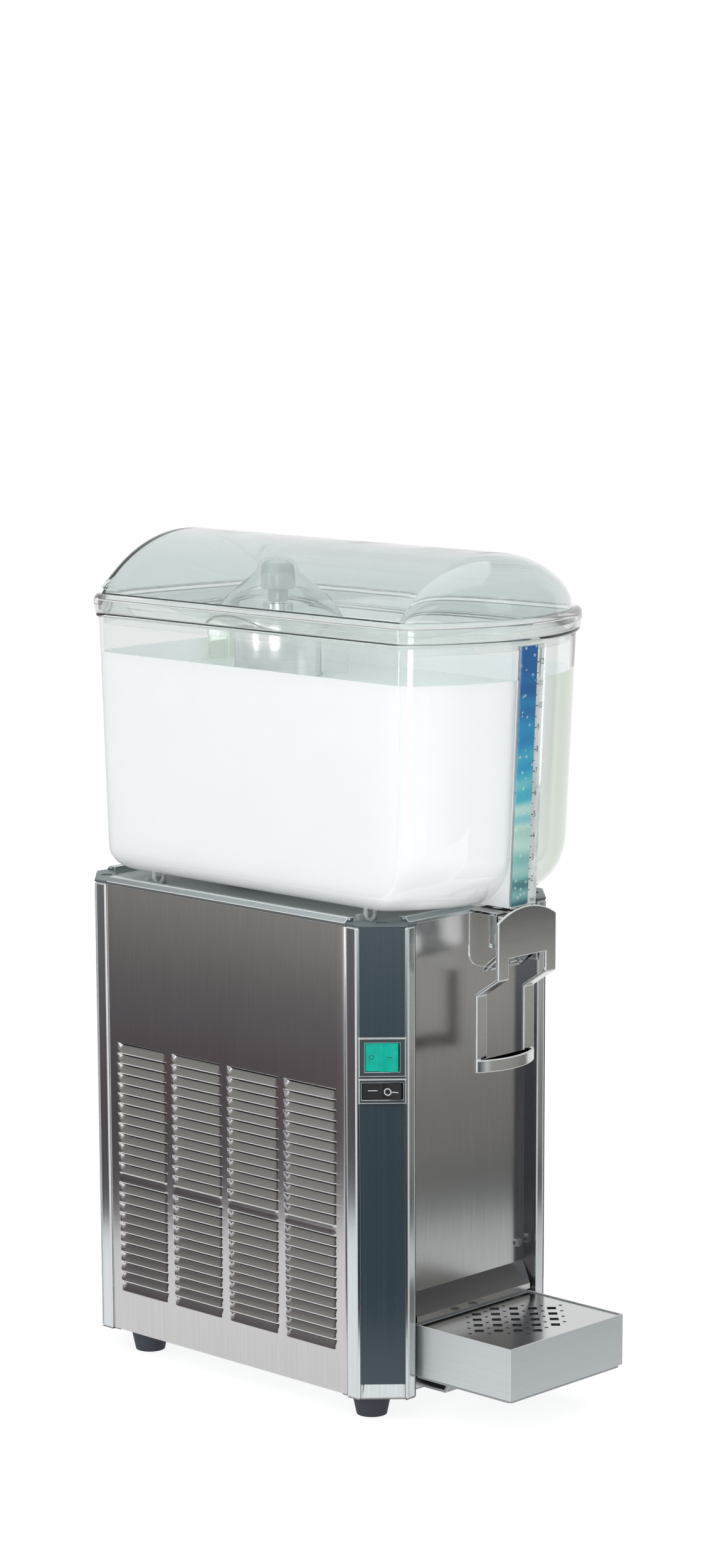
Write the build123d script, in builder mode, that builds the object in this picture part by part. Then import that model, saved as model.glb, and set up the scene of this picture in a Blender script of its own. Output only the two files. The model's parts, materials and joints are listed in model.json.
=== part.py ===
from build123d import *
import os
from math import asin, cos, degrees, hypot, pi, radians, sin, sqrt

# Refrigerated juice dispenser with one bowl.  A cabinet of four corner posts and thin panels holds
# the cooling plant.  A clear bowl stands on the deck round an upright cold cylinder, and is emptied
# by a lever tap over a drip tray.
# Frame: millimetres, +X to the right of a person facing the front, front towards -Y, +Z up, origin
# on the ground under the middle of the whole outline.

os.makedirs("parts", exist_ok=True)

# Cabinet
BODY_WIDTH = 213.0
BODY_DEPTH = 347.0
POST_HEIGHT = 373.0
POST_WALL = 2.0
POST_CHAMFER = 27.5
POST_SIDE_FLAT = 12.0
POST_FRONT_FLAT = 9.0
POST_TAB = 8.0
INSERT_THICKNESS = 1.2
INSERT_SHOULDER = 2.0
INSERT_FOOT = 12.5
CAP_HEIGHT = 5.5
CAP_LIP = 0.5
CAP_BEVEL = 1.5
CAP_RECESS = 9.0
CAP_HEEL = 12.0
SHEET = 1.0
PANEL_INSET = 1.5
PANEL_LIFT = 1.7
PAN_SHEET = 1.5
PAN_FLANGE = 22.0

# Feet
FOOT_HEIGHT = 19.0
FOOT_TOP = 32.0
FOOT_TOE = 24.0
FOOT_SIDE_INSET = 27.5
FOOT_FRONT_INSET = 39.0
FOOT_REAR_INSET = 55.0
FOOT_SCREW = 5.0
FOOT_SCREW_HEAD = 9.0
FOOT_SCREW_REACH = 5.0

# Louvres of the side panels
LOUVRE_COLUMNS = 4
LOUVRE_WIDTH = 57.0
LOUVRE_BRIDGE = 6.3
LOUVRE_UPPER_ROWS = 13
LOUVRE_LOWER_ROWS = 11
LOUVRE_PITCH = 8.33
LOUVRE_FLOOR = 35.2
LOUVRE_SLOT = 2.6
LOUVRE_DEPTH = 3.4
LOUVRE_LIP = 1.2
LOUVRE_BITE = 0.4

# Front panel
FRONT_RECESS = 12.0
FRONT_FOLD = 1.5
SPLASH_TOP = 80.0
SPLASH_FOOT = 63.0
SPLASH_INSET = 2.4
SPLASH_LIP = 4.3
FRONT_SCREW_HEIGHT = 96.0
FRONT_SCREW_HEAD = 7.0
FRONT_SCREW_SHANK = 4.0

# Rear panel
REAR_SLOTS = 9
REAR_SLOT_LENGTH = 52.0
REAR_SLOT_HEIGHT = 5.0
REAR_SLOT_PITCH = 14.0
REAR_SLOT_FLOOR = 252.0
GLAND_BORE = 16.0
GLAND_CORD = 8.0
GLAND_HEAD = 24.0
GLAND_NUT = 5.0
GLAND_HEIGHT = 40.0
GLAND_OFFSET = 52.0

# Top rails and deck
RAIL_WIDTH = 10.0
RAIL_FACE_INSET = 0.5
RAIL_HEIGHT = 6.3
RAIL_BEVEL = 3.5
RAIL_LEDGE = 8.0
RAIL_LEDGE_THICKNESS = 4.0
RAIL_GROOVE = 1.5
RAIL_TOP = 378.0
DECK_DROP = 6.0
FRONT_RAIL_INSET = 8.0
DECK_THICKNESS = 4.0
CATCH_WIDTH = 20.0
CATCH_DEPTH = 4.0
CATCH_HEIGHT = 6.0

# Cooling plant
COLD_DIAMETER = 70.0
COLD_HEIGHT = 213.0
COLD_FROM_FRONT = 214.0
COLD_DOME = 12.0
COLD_NECK = 24.0
COLD_NECK_HEIGHT = 12.0
COLD_BORE = 12.0
COLD_WALL = 2.0
COLD_FLANGE = 90.0
COLD_FLANGE_THICKNESS = 4.0
SHAFT_DIAMETER = 8.0
SHAFT_SEAT = 24.0
GEARBOX_LENGTH = 96.0
GEARBOX_WIDTH = 66.0
GEARBOX_HEIGHT = 32.0
GEARBOX_ROUND = 18.0
MOTOR_DIAMETER = 56.0
MOTOR_LENGTH = 46.0
COMPRESSOR_LENGTH = 116.0
COMPRESSOR_WIDTH = 92.0
COMPRESSOR_HEIGHT = 126.0
COMPRESSOR_CORNER = 44.0
COMPRESSOR_ROUND = 34.0
COMPRESSOR_FROM_FRONT = 96.0
COMPRESSOR_PLATE = 2.5
COMPRESSOR_PLATE_MARGIN = 14.0
GROMMET_DIAMETER = 20.0
GROMMET_HEIGHT = 16.0
CONDENSER_DEPTH = 30.0
CONDENSER_LENGTH = 124.0
CONDENSER_HEIGHT = 150.0
CONDENSER_FROM_FRONT = 222.0
CONDENSER_FINS = 17
CONDENSER_FIN = 1.0
CONDENSER_TUBE = 9.0
CONDENSER_TUBE_SIDES = 8
CONDENSER_ROWS = 5
CONDENSER_SIDE_GAP = 14.0
FAN_DIAMETER = 116.0
FAN_BLADES = 5
FAN_HUB = 30.0
FAN_DEPTH = 18.0
FAN_BLADE = 1.6
FAN_BLADE_BITE = 3.0
FAN_CHORD = 32.4
FAN_PITCH = 28.0
FAN_SHAFT = 5.0
FAN_SHAFT_REACH = 14.0
FAN_CLEARANCE = 8.0
FAN_MOTOR_DIAMETER = 60.0
FAN_MOTOR_LENGTH = 42.0
FAN_BRACKET_WIDTH = 40.0
FAN_BRACKET_SHEET = 2.0
FAN_BRACKET_FOOT = 24.0
FAN_WALL_HEIGHT = 272.0
FAN_WINDOW_WIDTH = 36.0
DRIER_DIAMETER = 19.0
DRIER_LENGTH = 80.0
DRIER_NECK = 7.0
PIPE_DIAMETER = 8.0
PIPE_BEND = 18.0
PIPE_PORT = 12.0
CONTROL_WIDTH = 70.0
CONTROL_DEPTH = 42.0
CONTROL_HEIGHT = 88.0
CONTROL_LIFT = 196.0
CONTROL_ROUND = 2.0
THERMOSTAT_WIDTH = 36.0
THERMOSTAT_DEPTH = 30.0
THERMOSTAT_HEIGHT = 46.0

# Switches
SWITCH_BEZEL = 36.8
SWITCH_PROUD = 2.5
SWITCH_CHAMFER = 0.8
SWITCH_BACK = 22.0
POWER_FLOOR = 257.0
POWER_HEIGHT = 31.0
POWER_ROCKER_WIDTH = 25.0
POWER_ROCKER_HEIGHT = 22.0
MIXER_FLOOR = 236.0
MIXER_HEIGHT = 20.0
MIXER_ROCKER_WIDTH = 30.0
MIXER_ROCKER_HEIGHT = 12.5
ROCKER_TILT = 8.0
ROCKER_VALLEY = 1.0
ROCKER_PIVOT = 1.0
ROCKER_PIN = 5.0
ROCKER_DEPTH = 4.0
ROCKER_GAP = 0.35

# Bowl
BOWL_WIDTH = 196.8
BOWL_HEIGHT = 219.0
BOWL_REAR_INSET = 15.5
BOWL_SHOULDER = 14.0
BOWL_BOW = 40.0
BOWL_WALL = 3.0
BOWL_CORNER = 20.0
BOWL_EDGE = 18.0
BOWL_FRONT_EDGE = 44.0
BOWL_SIDE_DRAFT = 4.4
BOWL_REAR_DRAFT = 3.5
BOWL_FRONT_DRAFT = 10.5
BOWL_NECK_HEIGHT = 12.0
BOWL_BEAD = 2.5
BOWL_BEAD_HEIGHT = 3.5
BOWL_LUG_WIDTH = 12.0
BOWL_LUG_THICKNESS = 3.0
BOWL_LUG_X = 78.0
BOWL_LUG_FRONT = 40.0
BOWL_LUG_REAR = 275.0
GASKET_DIAMETER = 87.0
GASKET_HEIGHT = 9.0
GASKET_CHAMFER = 1.5
NOSE_WIDTH = 27.0
NOSE_PROUD = 1.5
NOSE_DROP = 16.0
GAUGE_THICKNESS = 2.0
GAUGE_FOOT = 4.0

# Lid
LID_WALL = 2.5
LID_SKIRT = 11.0
LID_SKIRT_PROUD = 3.5
LID_PLATE = 4.0
LID_SPAN = 195.0
LID_RISE = 46.0
LID_REAR_INSET = 17.0
LID_FRONT_CHORD = 8.0
LID_RIM_DEPTH = 20.0
LID_RIM_WALL = 2.0
LID_RIM_CLEARANCE = 1.4

# Agitator
HAT_DIAMETER = 115.0
HAT_HEIGHT = 54.0
HAT_WAIST = 82.0
HAT_WAIST_RISE = 24.0
HAT_CROWN = 29.0
HAT_CROWN_DROP = 5.5
HAT_TIP = 17.0
HAT_WALL = 2.0
HAT_BRIM_DROP = 21.0
HUB_DIAMETER = 28.0
PADDLE_WIDTH = 20.0
PADDLE_THICKNESS = 3.0
PADDLE_LENGTH = 140.0
PADDLE_TURN = -46.0

# Tap
TAP_SETBACK = 18.0
TAP_PIVOT_REACH = 44.0
TAP_PIVOT_DROP = 31.0
OUTLET_DIAMETER = 20.0
OUTLET_BORE = 14.0
OUTLET_LENGTH = 31.0
OUTLET_SEAT = 2.5
OUTLET_SEAT_BORE = 9.0
OUTLET_STOP = 2.0
CHEEK_SPAN = 50.0
CHEEK_THICKNESS = 2.5
CHEEK_HEIGHT = 43.0
CHEEK_FRONT = 41.5
CHEEK_REAR = 13.0
CHEEK_ROUND = 8.0
PIN_DIAMETER = 4.0
PIN_FIT = 0.05
PLUG_HEIGHT = 8.2
PLUG_GAP = 0.5
STEM_DIAMETER = 5.0
STEM_LENGTH = 12.8
PLUNGER_FOOT = 12.0
PLUNGER_FOOT_HEIGHT = 2.5
SPRING_WIRE = 1.2
SPRING_SIDES = 8
SPRING_TURNS = 5
SPRING_GAP = 0.4
LEVER_THICKNESS = 2.5
LEVER_WIDTH = 66.4
LEVER_PLATE_RISE = 25.4
LEVER_DOME = 9.6
LEVER_PLATE_DROP = 19.5
LEVER_FACE = 7.3
LEVER_NOTCH_WIDTH = 42.6
LEVER_NOTCH_HEIGHT = 16.0
LEVER_STRIP = 12.0
LEVER_KNEE_BACK = 22.0
LEVER_KNEE_DROP = 14.5
LEVER_LOOP_DROP = 94.0
LEVER_BAR_HEIGHT = 10.0
LEVER_BAR_BULGE = 10.0
LEVER_EAR = 2.0
LEVER_EAR_ROUND = 4.4
LEVER_CROSSBAR = 4.0

# Drip tray
TRAY_REACH = 94.5
TRAY_WIDTH = 132.0
TRAY_TOP = 57.0
TRAY_HEIGHT = 41.25
TRAY_TUCK = 7.0
TRAY_LEDGE = 5.0
TRAY_LEDGE_DROP = 2.6
PAN_WALL = 2.0
PAN_SHOW = 2.0
GRILLE_SHEET = 1.2
GRILLE_SQUARE = 7.0
GRILLE_HOLE = 3.0
GRILLE_PITCH = 15.0
GRILLE_REACH = 5
GRILLE_CUT = 8
GRILLE_CENTRE = 41.0
BRACKET_WIDTH = 84.0
BRACKET_SHEET = 2.0
BRACKET_REACH = 70.0
BRACKET_ROOT = 50.0
BRACKET_STEP = 4.0

# Clearances: between pieces fixed to each other, and between pieces that move past each other
FIT = 0.2
RUN = 0.3
SHAFT_FIT = 0.05

# Places that follow from the sizes above
FRONT_Y = (TRAY_REACH - BODY_DEPTH - CAP_LIP) / 2
REAR_Y = FRONT_Y + BODY_DEPTH
MIDDLE_Y = (FRONT_Y + REAR_Y) / 2
SIDE_X = BODY_WIDTH / 2
BASE_Z = FOOT_HEIGHT
POST_TOP = BASE_Z + POST_HEIGHT
SIDE_END = POST_CHAMFER + POST_SIDE_FLAT
FRONT_END = POST_CHAMFER + POST_FRONT_FLAT
CORNER_LINE = POST_CHAMFER + (INSERT_THICKNESS + POST_WALL) * sqrt(2) + 2 * FIT
PANEL_TOP = BASE_Z + RAIL_TOP - RAIL_HEIGHT - FIT
PANEL_FOOT = BASE_Z + PANEL_LIFT
PANEL_BACK = PANEL_INSET + SHEET
TAB_BACK = PANEL_BACK + POST_WALL
RAIL_Z = BASE_Z + RAIL_TOP
DECK_TOP = RAIL_Z - DECK_DROP
DECK_FOOT = DECK_TOP - DECK_THICKNESS
LEDGE_Z = DECK_FOOT - RAIL_LEDGE_THICKNESS
PAN_TOP = BASE_Z + PAN_SHEET
COLD_Y = FRONT_Y + COLD_FROM_FRONT
FLOOR_Z = DECK_TOP + GASKET_HEIGHT + FIT
RIM_Z = FLOOR_Z + BOWL_HEIGHT
NOSE_TOP = BOWL_HEIGHT - NOSE_DROP
TAP_Y = FRONT_Y - TAP_PIVOT_REACH + TAP_SETBACK
PIVOT_Y = FRONT_Y - TAP_PIVOT_REACH
PIVOT_Z = FLOOR_Z - TAP_PIVOT_DROP


# Shared shapes


def cabinet_plan(side, front, rear):
    """Plan of a flat piece inside the cabinet, set in from its faces, clear of the corner posts."""
    with BuildSketch() as plan:
        with Locations((0, (FRONT_Y + front + REAR_Y - rear) / 2)):
            Rectangle(BODY_WIDTH - 2 * side, BODY_DEPTH - front - rear)
        front_corners = plan.vertices().group_by(Axis.Y)[0]
        rear_corners = plan.vertices().group_by(Axis.Y)[-1]
        chamfer(front_corners, CORNER_LINE - side - front)
        chamfer(rear_corners, CORNER_LINE - side - rear)
    return plan.sketch


def rounding(height, radius):
    """How far a rounded lower edge has drawn in at a height above its foot."""
    if height >= radius:
        return 0.0
    return radius - sqrt(radius**2 - (radius - height) ** 2)


def bowl_front(height):
    """Foremost line of the bowl at a height above its floor, without the rounding of its foot."""
    return FRONT_Y - BOWL_SHOULDER - BOWL_BOW + BOWL_FRONT_DRAFT * (1 - height / BOWL_HEIGHT)


def bowl_plan(height, inset):
    """Plan of the bowl at a height above its floor, drawn in by inset from the outer wall."""
    draft = 1 - height / BOWL_HEIGHT
    side_round = rounding(height - inset, BOWL_EDGE - inset)
    front_round = rounding(height - inset, BOWL_FRONT_EDGE - inset)
    half = BOWL_WIDTH / 2 - BOWL_SIDE_DRAFT * draft - side_round - inset
    rear = REAR_Y - BOWL_REAR_INSET - BOWL_REAR_DRAFT * draft - side_round - inset
    front = bowl_front(height) + front_round + inset
    shoulder = front + BOWL_BOW * half / (BOWL_WIDTH / 2)
    with BuildSketch() as plan:
        with BuildLine():
            Polyline((-half, shoulder), (-half, rear), (half, rear), (half, shoulder))
            ThreePointArc((half, shoulder), (0, front), (-half, shoulder))
        make_face()
        fillet(plan.vertices(), BOWL_CORNER - inset)
    return plan.sketch


def corner_face(side):
    """Plane of a front post's corner face: x across it, y up, normal out of the cabinet."""
    middle = POST_CHAMFER / 2
    return Plane(
        origin=(side * (SIDE_X - middle), FRONT_Y + middle, 0),
        x_dir=(1, side, 0),
        z_dir=(side, -1, 0),
    )


# Feet and the screws that hold them to the base pan
foot_places = {
    "foot_front_left": (FOOT_SIDE_INSET - SIDE_X, FRONT_Y + FOOT_FRONT_INSET),
    "foot_front_right": (SIDE_X - FOOT_SIDE_INSET, FRONT_Y + FOOT_FRONT_INSET),
    "foot_rear_left": (FOOT_SIDE_INSET - SIDE_X, REAR_Y - FOOT_REAR_INSET),
    "foot_rear_right": (SIDE_X - FOOT_SIDE_INSET, REAR_Y - FOOT_REAR_INSET),
}
foot_recess = FOOT_HEIGHT / 2
foot_bore = FOOT_SCREW / 2 + FIT
for foot_name, foot_place in foot_places.items():
    with BuildPart() as foot:
        with Locations((*foot_place, 0)):
            Cone(FOOT_TOE / 2, FOOT_TOP / 2, FOOT_HEIGHT, align=(Align.CENTER, Align.CENTER, Align.MIN))
        with BuildSketch(Plane.XY):
            with Locations(foot_place):
                Circle(FOOT_SCREW_HEAD / 2 + FIT)
        extrude(amount=foot_recess, mode=Mode.SUBTRACT)
        with BuildSketch(Plane.XY):
            with Locations(foot_place):
                Circle(foot_bore)
        extrude(amount=FOOT_HEIGHT, mode=Mode.SUBTRACT)
    foot.part.label = foot_name
    export_step(foot.part, f"parts/{foot_name}.step")

with BuildPart() as foot_screws:
    with BuildSketch(Plane.XY.offset(foot_recess)):
        with Locations(*foot_places.values()):
            Circle(FOOT_SCREW_HEAD / 2)
    extrude(amount=-FOOT_SCREW / 2)
    with BuildSketch(Plane.XY.offset(foot_recess)):
        with Locations(*foot_places.values()):
            Circle(FOOT_SCREW / 2)
    extrude(amount=FOOT_HEIGHT - foot_recess + PAN_SHEET + FOOT_SCREW_REACH)
foot_screws.part.label = "foot_screws"
export_step(foot_screws.part, "parts/foot_screws.step")

# Base pan: floor and upturned edge inside the posts, behind the front panel
pan_front = FRONT_RECESS + SHEET + FIT
pan_rear = POST_WALL + SHEET + FIT
pan_plan = cabinet_plan(TAB_BACK + FIT, pan_front, pan_rear)
with BuildPart() as base_pan:
    with BuildSketch(Plane.XY.offset(BASE_Z)):
        add(pan_plan)
    extrude(amount=PAN_FLANGE)
    with BuildSketch(Plane.XY.offset(PAN_TOP)):
        add(pan_plan)
        offset(amount=-PAN_SHEET, kind=Kind.INTERSECTION)
    extrude(amount=PAN_FLANGE, mode=Mode.SUBTRACT)
    with BuildSketch(Plane.XY.offset(BASE_Z)):
        with Locations(*foot_places.values()):
            Circle(foot_bore)
    extrude(amount=PAN_SHEET, mode=Mode.SUBTRACT)
base_pan.part.label = "base_pan"
export_step(base_pan.part, "parts/base_pan.step")

# Corner posts: one extruded section, mirrored to the four corners
post_outline = [
    (PANEL_BACK, SIDE_END + POST_TAB),
    (PANEL_BACK, SIDE_END),
    (0, SIDE_END),
    (0, POST_CHAMFER),
    (INSERT_SHOULDER / sqrt(2), POST_CHAMFER - INSERT_SHOULDER / sqrt(2)),
    (
        (INSERT_SHOULDER + INSERT_THICKNESS) / sqrt(2),
        POST_CHAMFER - (INSERT_SHOULDER - INSERT_THICKNESS) / sqrt(2),
    ),
    (
        POST_CHAMFER - (INSERT_SHOULDER - INSERT_THICKNESS) / sqrt(2),
        (INSERT_SHOULDER + INSERT_THICKNESS) / sqrt(2),
    ),
    (POST_CHAMFER - INSERT_SHOULDER / sqrt(2), INSERT_SHOULDER / sqrt(2)),
    (POST_CHAMFER, 0),
    (FRONT_END, 0),
]
with BuildPart() as plain_post:
    with BuildSketch(Plane.XY.offset(BASE_Z)) as post_section:
        with BuildLine():
            Polyline(*[(SIDE_X - inward, FRONT_Y + back) for inward, back in post_outline])
            offset(amount=POST_WALL, side=Side.RIGHT, kind=Kind.INTERSECTION)
        make_face()
    extrude(amount=POST_HEIGHT)
    with BuildSketch(Plane.XY.offset(PANEL_TOP)):
        with Locations((SIDE_X - TAB_BACK / 2, FRONT_Y + SIDE_END + POST_TAB / 2)):
            Rectangle(TAB_BACK, POST_TAB)
    extrude(amount=POST_HEIGHT, mode=Mode.SUBTRACT)

with BuildPart() as plain_cap:
    with BuildSketch(Plane.XY.offset(POST_TOP)):
        with BuildLine():
            Polyline(
                (SIDE_X, FRONT_Y + SIDE_END),
                (SIDE_X, FRONT_Y + POST_CHAMFER),
                (SIDE_X - POST_CHAMFER, FRONT_Y),
                (SIDE_X - FRONT_END, FRONT_Y),
                (SIDE_X - FRONT_END, FRONT_Y + CAP_HEEL),
                (SIDE_X - CAP_HEEL, FRONT_Y + SIDE_END),
                close=True,
            )
        make_face()
        offset(amount=CAP_LIP, kind=Kind.INTERSECTION)
    extrude(amount=CAP_HEIGHT)
    chamfer(plain_cap.faces().sort_by(Axis.Z)[-1].edges(), CAP_BEVEL)
    cap_middle = (SIDE_X - (POST_CHAMFER + CAP_HEEL) / 2, FRONT_Y + (POST_CHAMFER + CAP_HEEL) / 2)
    with BuildSketch(Plane.XY.offset(POST_TOP + CAP_HEIGHT)):
        with Locations(cap_middle):
            Circle(CAP_RECESS / 2)
    extrude(amount=-CAP_HEIGHT / 2, mode=Mode.SUBTRACT)
    with BuildSketch(Plane.XY.offset(POST_TOP)):
        with Locations(Location((*cap_middle, 0), 45)):
            Rectangle(POST_CHAMFER / 2, POST_CHAMFER / 4)
    extrude(amount=DECK_TOP + FIT - POST_TOP)

across = Plane.YZ
along = Plane.XZ.offset(-MIDDLE_Y)
corner_mirrors = {
    "front_right": [],
    "front_left": [across],
    "rear_right": [along],
    "rear_left": [across, along],
}
switch_face = corner_face(-1)
switch_places = {
    "power": (POWER_FLOOR, POWER_HEIGHT, POWER_ROCKER_WIDTH, POWER_ROCKER_HEIGHT),
    "mixer": (MIXER_FLOOR, MIXER_HEIGHT, MIXER_ROCKER_WIDTH, MIXER_ROCKER_HEIGHT),
}


def rocker_radius(width):
    """Reach of a rocker's ends from its pivot."""
    return hypot(width / 2, width / 2 * sin(radians(ROCKER_TILT)) + ROCKER_VALLEY + ROCKER_PIVOT)


def housing_size(width, height):
    """Outline of a switch body behind the corner face, a wall's thickness round its rocker."""
    wall = SHEET + ROCKER_GAP
    return 2 * (rocker_radius(width) + wall), height + 2 * wall


for corner, mirrors in corner_mirrors.items():
    post_shape = plain_post.part
    cap_shape = plain_cap.part
    for mirror_plane in mirrors:
        post_shape = mirror(post_shape, about=mirror_plane)
        cap_shape = mirror(cap_shape, about=mirror_plane)
    with BuildPart() as post:
        add(post_shape)
        if corner == "front_left":
            for floor, height, rocker_width, rocker_height in switch_places.values():
                body_width, body_height = housing_size(rocker_width, rocker_height)
                with BuildSketch(switch_face):
                    with Locations((0, BASE_Z + floor + height / 2)):
                        Rectangle(body_width + 2 * FIT, body_height + 2 * FIT)
                extrude(amount=-POST_CHAMFER / 2, mode=Mode.SUBTRACT)
    post.part.label = f"post_{corner}"
    export_step(post.part, f"parts/post_{corner}.step")
    with BuildPart() as cap:
        add(cap_shape)
    cap.part.label = f"cap_{corner}"
    export_step(cap.part, f"parts/cap_{corner}.step")

# Dark inserts in the corner faces of the front posts
insert_width = POST_CHAMFER * sqrt(2) - 2 * INSERT_SHOULDER - 2 * FIT
insert_foot = BASE_Z + INSERT_FOOT
for side_name, side in (("left", -1), ("right", 1)):
    face = corner_face(side)
    with BuildPart() as insert:
        with BuildSketch(face.offset(-INSERT_THICKNESS)):
            with Locations((0, (insert_foot + POST_TOP - FIT) / 2)):
                Rectangle(insert_width, POST_TOP - FIT - insert_foot)
        extrude(amount=INSERT_THICKNESS)
        if side_name == "left":
            for floor, height, rocker_width, rocker_height in switch_places.values():
                body_width, body_height = housing_size(rocker_width, rocker_height)
                with BuildSketch(face):
                    with Locations((0, BASE_Z + floor + height / 2)):
                        Rectangle(body_width + 2 * FIT, body_height + 2 * FIT)
                extrude(amount=-POST_CHAMFER / 2, mode=Mode.SUBTRACT)
    insert.part.label = f"insert_{side_name}"
    export_step(insert.part, f"parts/insert_{side_name}.step")

# Switches: a framed body in the corner face and a rocker that tips from side to side
for switch_name, switch_size in switch_places.items():
    floor, height, rocker_width, rocker_height = switch_size
    middle_z = BASE_Z + floor + height / 2
    body_width, body_height = housing_size(rocker_width, rocker_height)
    reach = rocker_radius(rocker_width)
    with BuildPart() as bezel:
        with BuildSketch(switch_face):
            with Locations((0, middle_z)):
                Rectangle(SWITCH_BEZEL, height)
        extrude(amount=SWITCH_PROUD)
        chamfer(bezel.faces().sort_by(Axis((0, 0, 0), (-1, -1, 0)))[-1].edges(), SWITCH_CHAMFER)
        with BuildSketch(switch_face):
            with Locations((0, middle_z)):
                Rectangle(body_width, body_height)
        extrude(amount=-SWITCH_BACK)
        with BuildSketch(switch_face.offset(SWITCH_PROUD)):
            with Locations((0, middle_z)):
                Rectangle(2 * (reach + ROCKER_GAP), rocker_height + 2 * ROCKER_GAP)
        extrude(amount=-(SWITCH_PROUD + SWITCH_BACK - POST_WALL), mode=Mode.SUBTRACT)
    bezel.part.label = f"{switch_name}_switch_body"
    export_step(bezel.part, f"parts/{switch_name}_switch_body.step")

    pivot = switch_face.from_local_coords((0, middle_z, -ROCKER_PIVOT))
    rocker_plan = Plane(origin=pivot, x_dir=(1, -1, 0), z_dir=(0, 0, -1)).rotated((0, 0, ROCKER_TILT))
    end_rise = ROCKER_PIVOT + ROCKER_VALLEY + rocker_width / 2 * sin(radians(ROCKER_TILT))
    with BuildPart() as rocker:
        with BuildSketch(rocker_plan):
            Circle(reach)
            with BuildLine():
                Polyline(
                    (-rocker_width / 2, end_rise),
                    (0, ROCKER_PIVOT + ROCKER_VALLEY),
                    (rocker_width / 2, end_rise),
                    (rocker_width / 2, -ROCKER_DEPTH),
                    (-rocker_width / 2, -ROCKER_DEPTH),
                    close=True,
                )
            make_face(mode=Mode.INTERSECT)
        extrude(amount=rocker_height / 2, both=True)
        with BuildSketch(Plane(origin=pivot, x_dir=(1, -1, 0), z_dir=(0, 0, -1))):
            Circle(ROCKER_PIN / 2)
        extrude(amount=rocker_height / 2 + ROCKER_GAP - SHAFT_FIT, both=True)
    rocker.part.label = f"{switch_name}_rocker"
    export_step(rocker.part, f"parts/{switch_name}_rocker.step")

# Side panels with pressed louvres: each blade leans out from a slot to a lip below it
louvre_rows = LOUVRE_UPPER_ROWS + 1 + LOUVRE_LOWER_ROWS
louvre_top = BASE_Z + LOUVRE_FLOOR + louvre_rows * LOUVRE_PITCH
louvre_groups = [
    (louvre_top, LOUVRE_UPPER_ROWS),
    (louvre_top - (LOUVRE_UPPER_ROWS + 1) * LOUVRE_PITCH, LOUVRE_LOWER_ROWS),
]
column_pitch = LOUVRE_WIDTH + LOUVRE_BRIDGE
first_column = MIDDLE_Y - column_pitch * (LOUVRE_COLUMNS - 1) / 2
column_places = [first_column + column_pitch * index for index in range(LOUVRE_COLUMNS)]
panel_length = BODY_DEPTH - 2 * (SIDE_END + FIT)
panel_flange = TAB_BACK - PANEL_INSET
for side_name, side in (("left", -1), ("right", 1)):
    panel_face = side * (SIDE_X - PANEL_INSET)
    with BuildPart() as panel:
        with BuildSketch(Plane.YZ.offset(panel_face)):
            with Locations((MIDDLE_Y, (PANEL_FOOT + PANEL_TOP) / 2)):
                Rectangle(panel_length, PANEL_TOP - PANEL_FOOT)
            for group_top, rows in louvre_groups:
                group_height = rows * LOUVRE_PITCH
                for column in column_places:
                    with Locations((column, group_top - group_height / 2)):
                        Rectangle(LOUVRE_WIDTH, group_height, mode=Mode.SUBTRACT)
        extrude(amount=-side * SHEET)
        with BuildSketch(Plane.XZ.offset(-MIDDLE_Y)):
            for edge, lift in ((PANEL_FOOT, SHEET / 2), (PANEL_TOP, -SHEET / 2)):
                with Locations((panel_face - side * panel_flange / 2, edge + lift)):
                    Rectangle(panel_flange, SHEET)
        extrude(amount=panel_length / 2 - POST_TAB - FIT, both=True)
        for column in column_places:
            with BuildSketch(Plane.XZ.offset(-column)):
                for group_top, rows in louvre_groups:
                    for row in range(rows):
                        blade_top = group_top - row * LOUVRE_PITCH - LOUVRE_SLOT
                        blade_foot = group_top - (row + 1) * LOUVRE_PITCH
                        lip = LOUVRE_LIP
                        if row == rows - 1:
                            blade_foot -= LOUVRE_BITE
                            lip = 0.0
                        with BuildLine():
                            Polyline(
                                (panel_face - side * LOUVRE_DEPTH, blade_top),
                                (panel_face - side * (LOUVRE_DEPTH + SHEET), blade_top),
                                (panel_face - side * SHEET, blade_foot + LOUVRE_LIP),
                                (panel_face - side * (SHEET - lip), blade_foot),
                                (panel_face + side * lip, blade_foot),
                                (panel_face, blade_foot + LOUVRE_LIP),
                                close=True,
                            )
                        make_face()
            extrude(amount=LOUVRE_WIDTH / 2 + LOUVRE_BITE, both=True)
    panel.part.label = f"side_panel_{side_name}"
    export_step(panel.part, f"parts/side_panel_{side_name}.step")

# Front panel: recessed sheet folded forward behind the post edges, with a splash slope at its foot
front_plan = [
    (POST_CHAMFER + 2 * POST_WALL, POST_WALL),
    (FRONT_END + FIT, POST_WALL),
    (FRONT_END + FIT + FRONT_FOLD, FRONT_RECESS),
]
fold_edge = SIDE_X - front_plan[-1][0]
splash_top = BASE_Z + SPLASH_TOP
splash_foot = BASE_Z + SPLASH_FOOT
splash_back = FRONT_RECESS - SPLASH_INSET
splash_slope = hypot(splash_back, SPLASH_TOP - SPLASH_FOOT)
splash_half = TRAY_WIDTH / 2
splash_plane = Plane(
    origin=(0, FRONT_Y + FRONT_RECESS, splash_top),
    x_dir=(1, 0, 0),
    z_dir=(0, SPLASH_FOOT - SPLASH_TOP, splash_back),
)
right_half = [(SIDE_X - inward, FRONT_Y + back) for inward, back in front_plan]
left_half = [(-x, y) for x, y in reversed(right_half)]
screw_z = BASE_Z + FRONT_SCREW_HEIGHT
screw_planes = []
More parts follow.
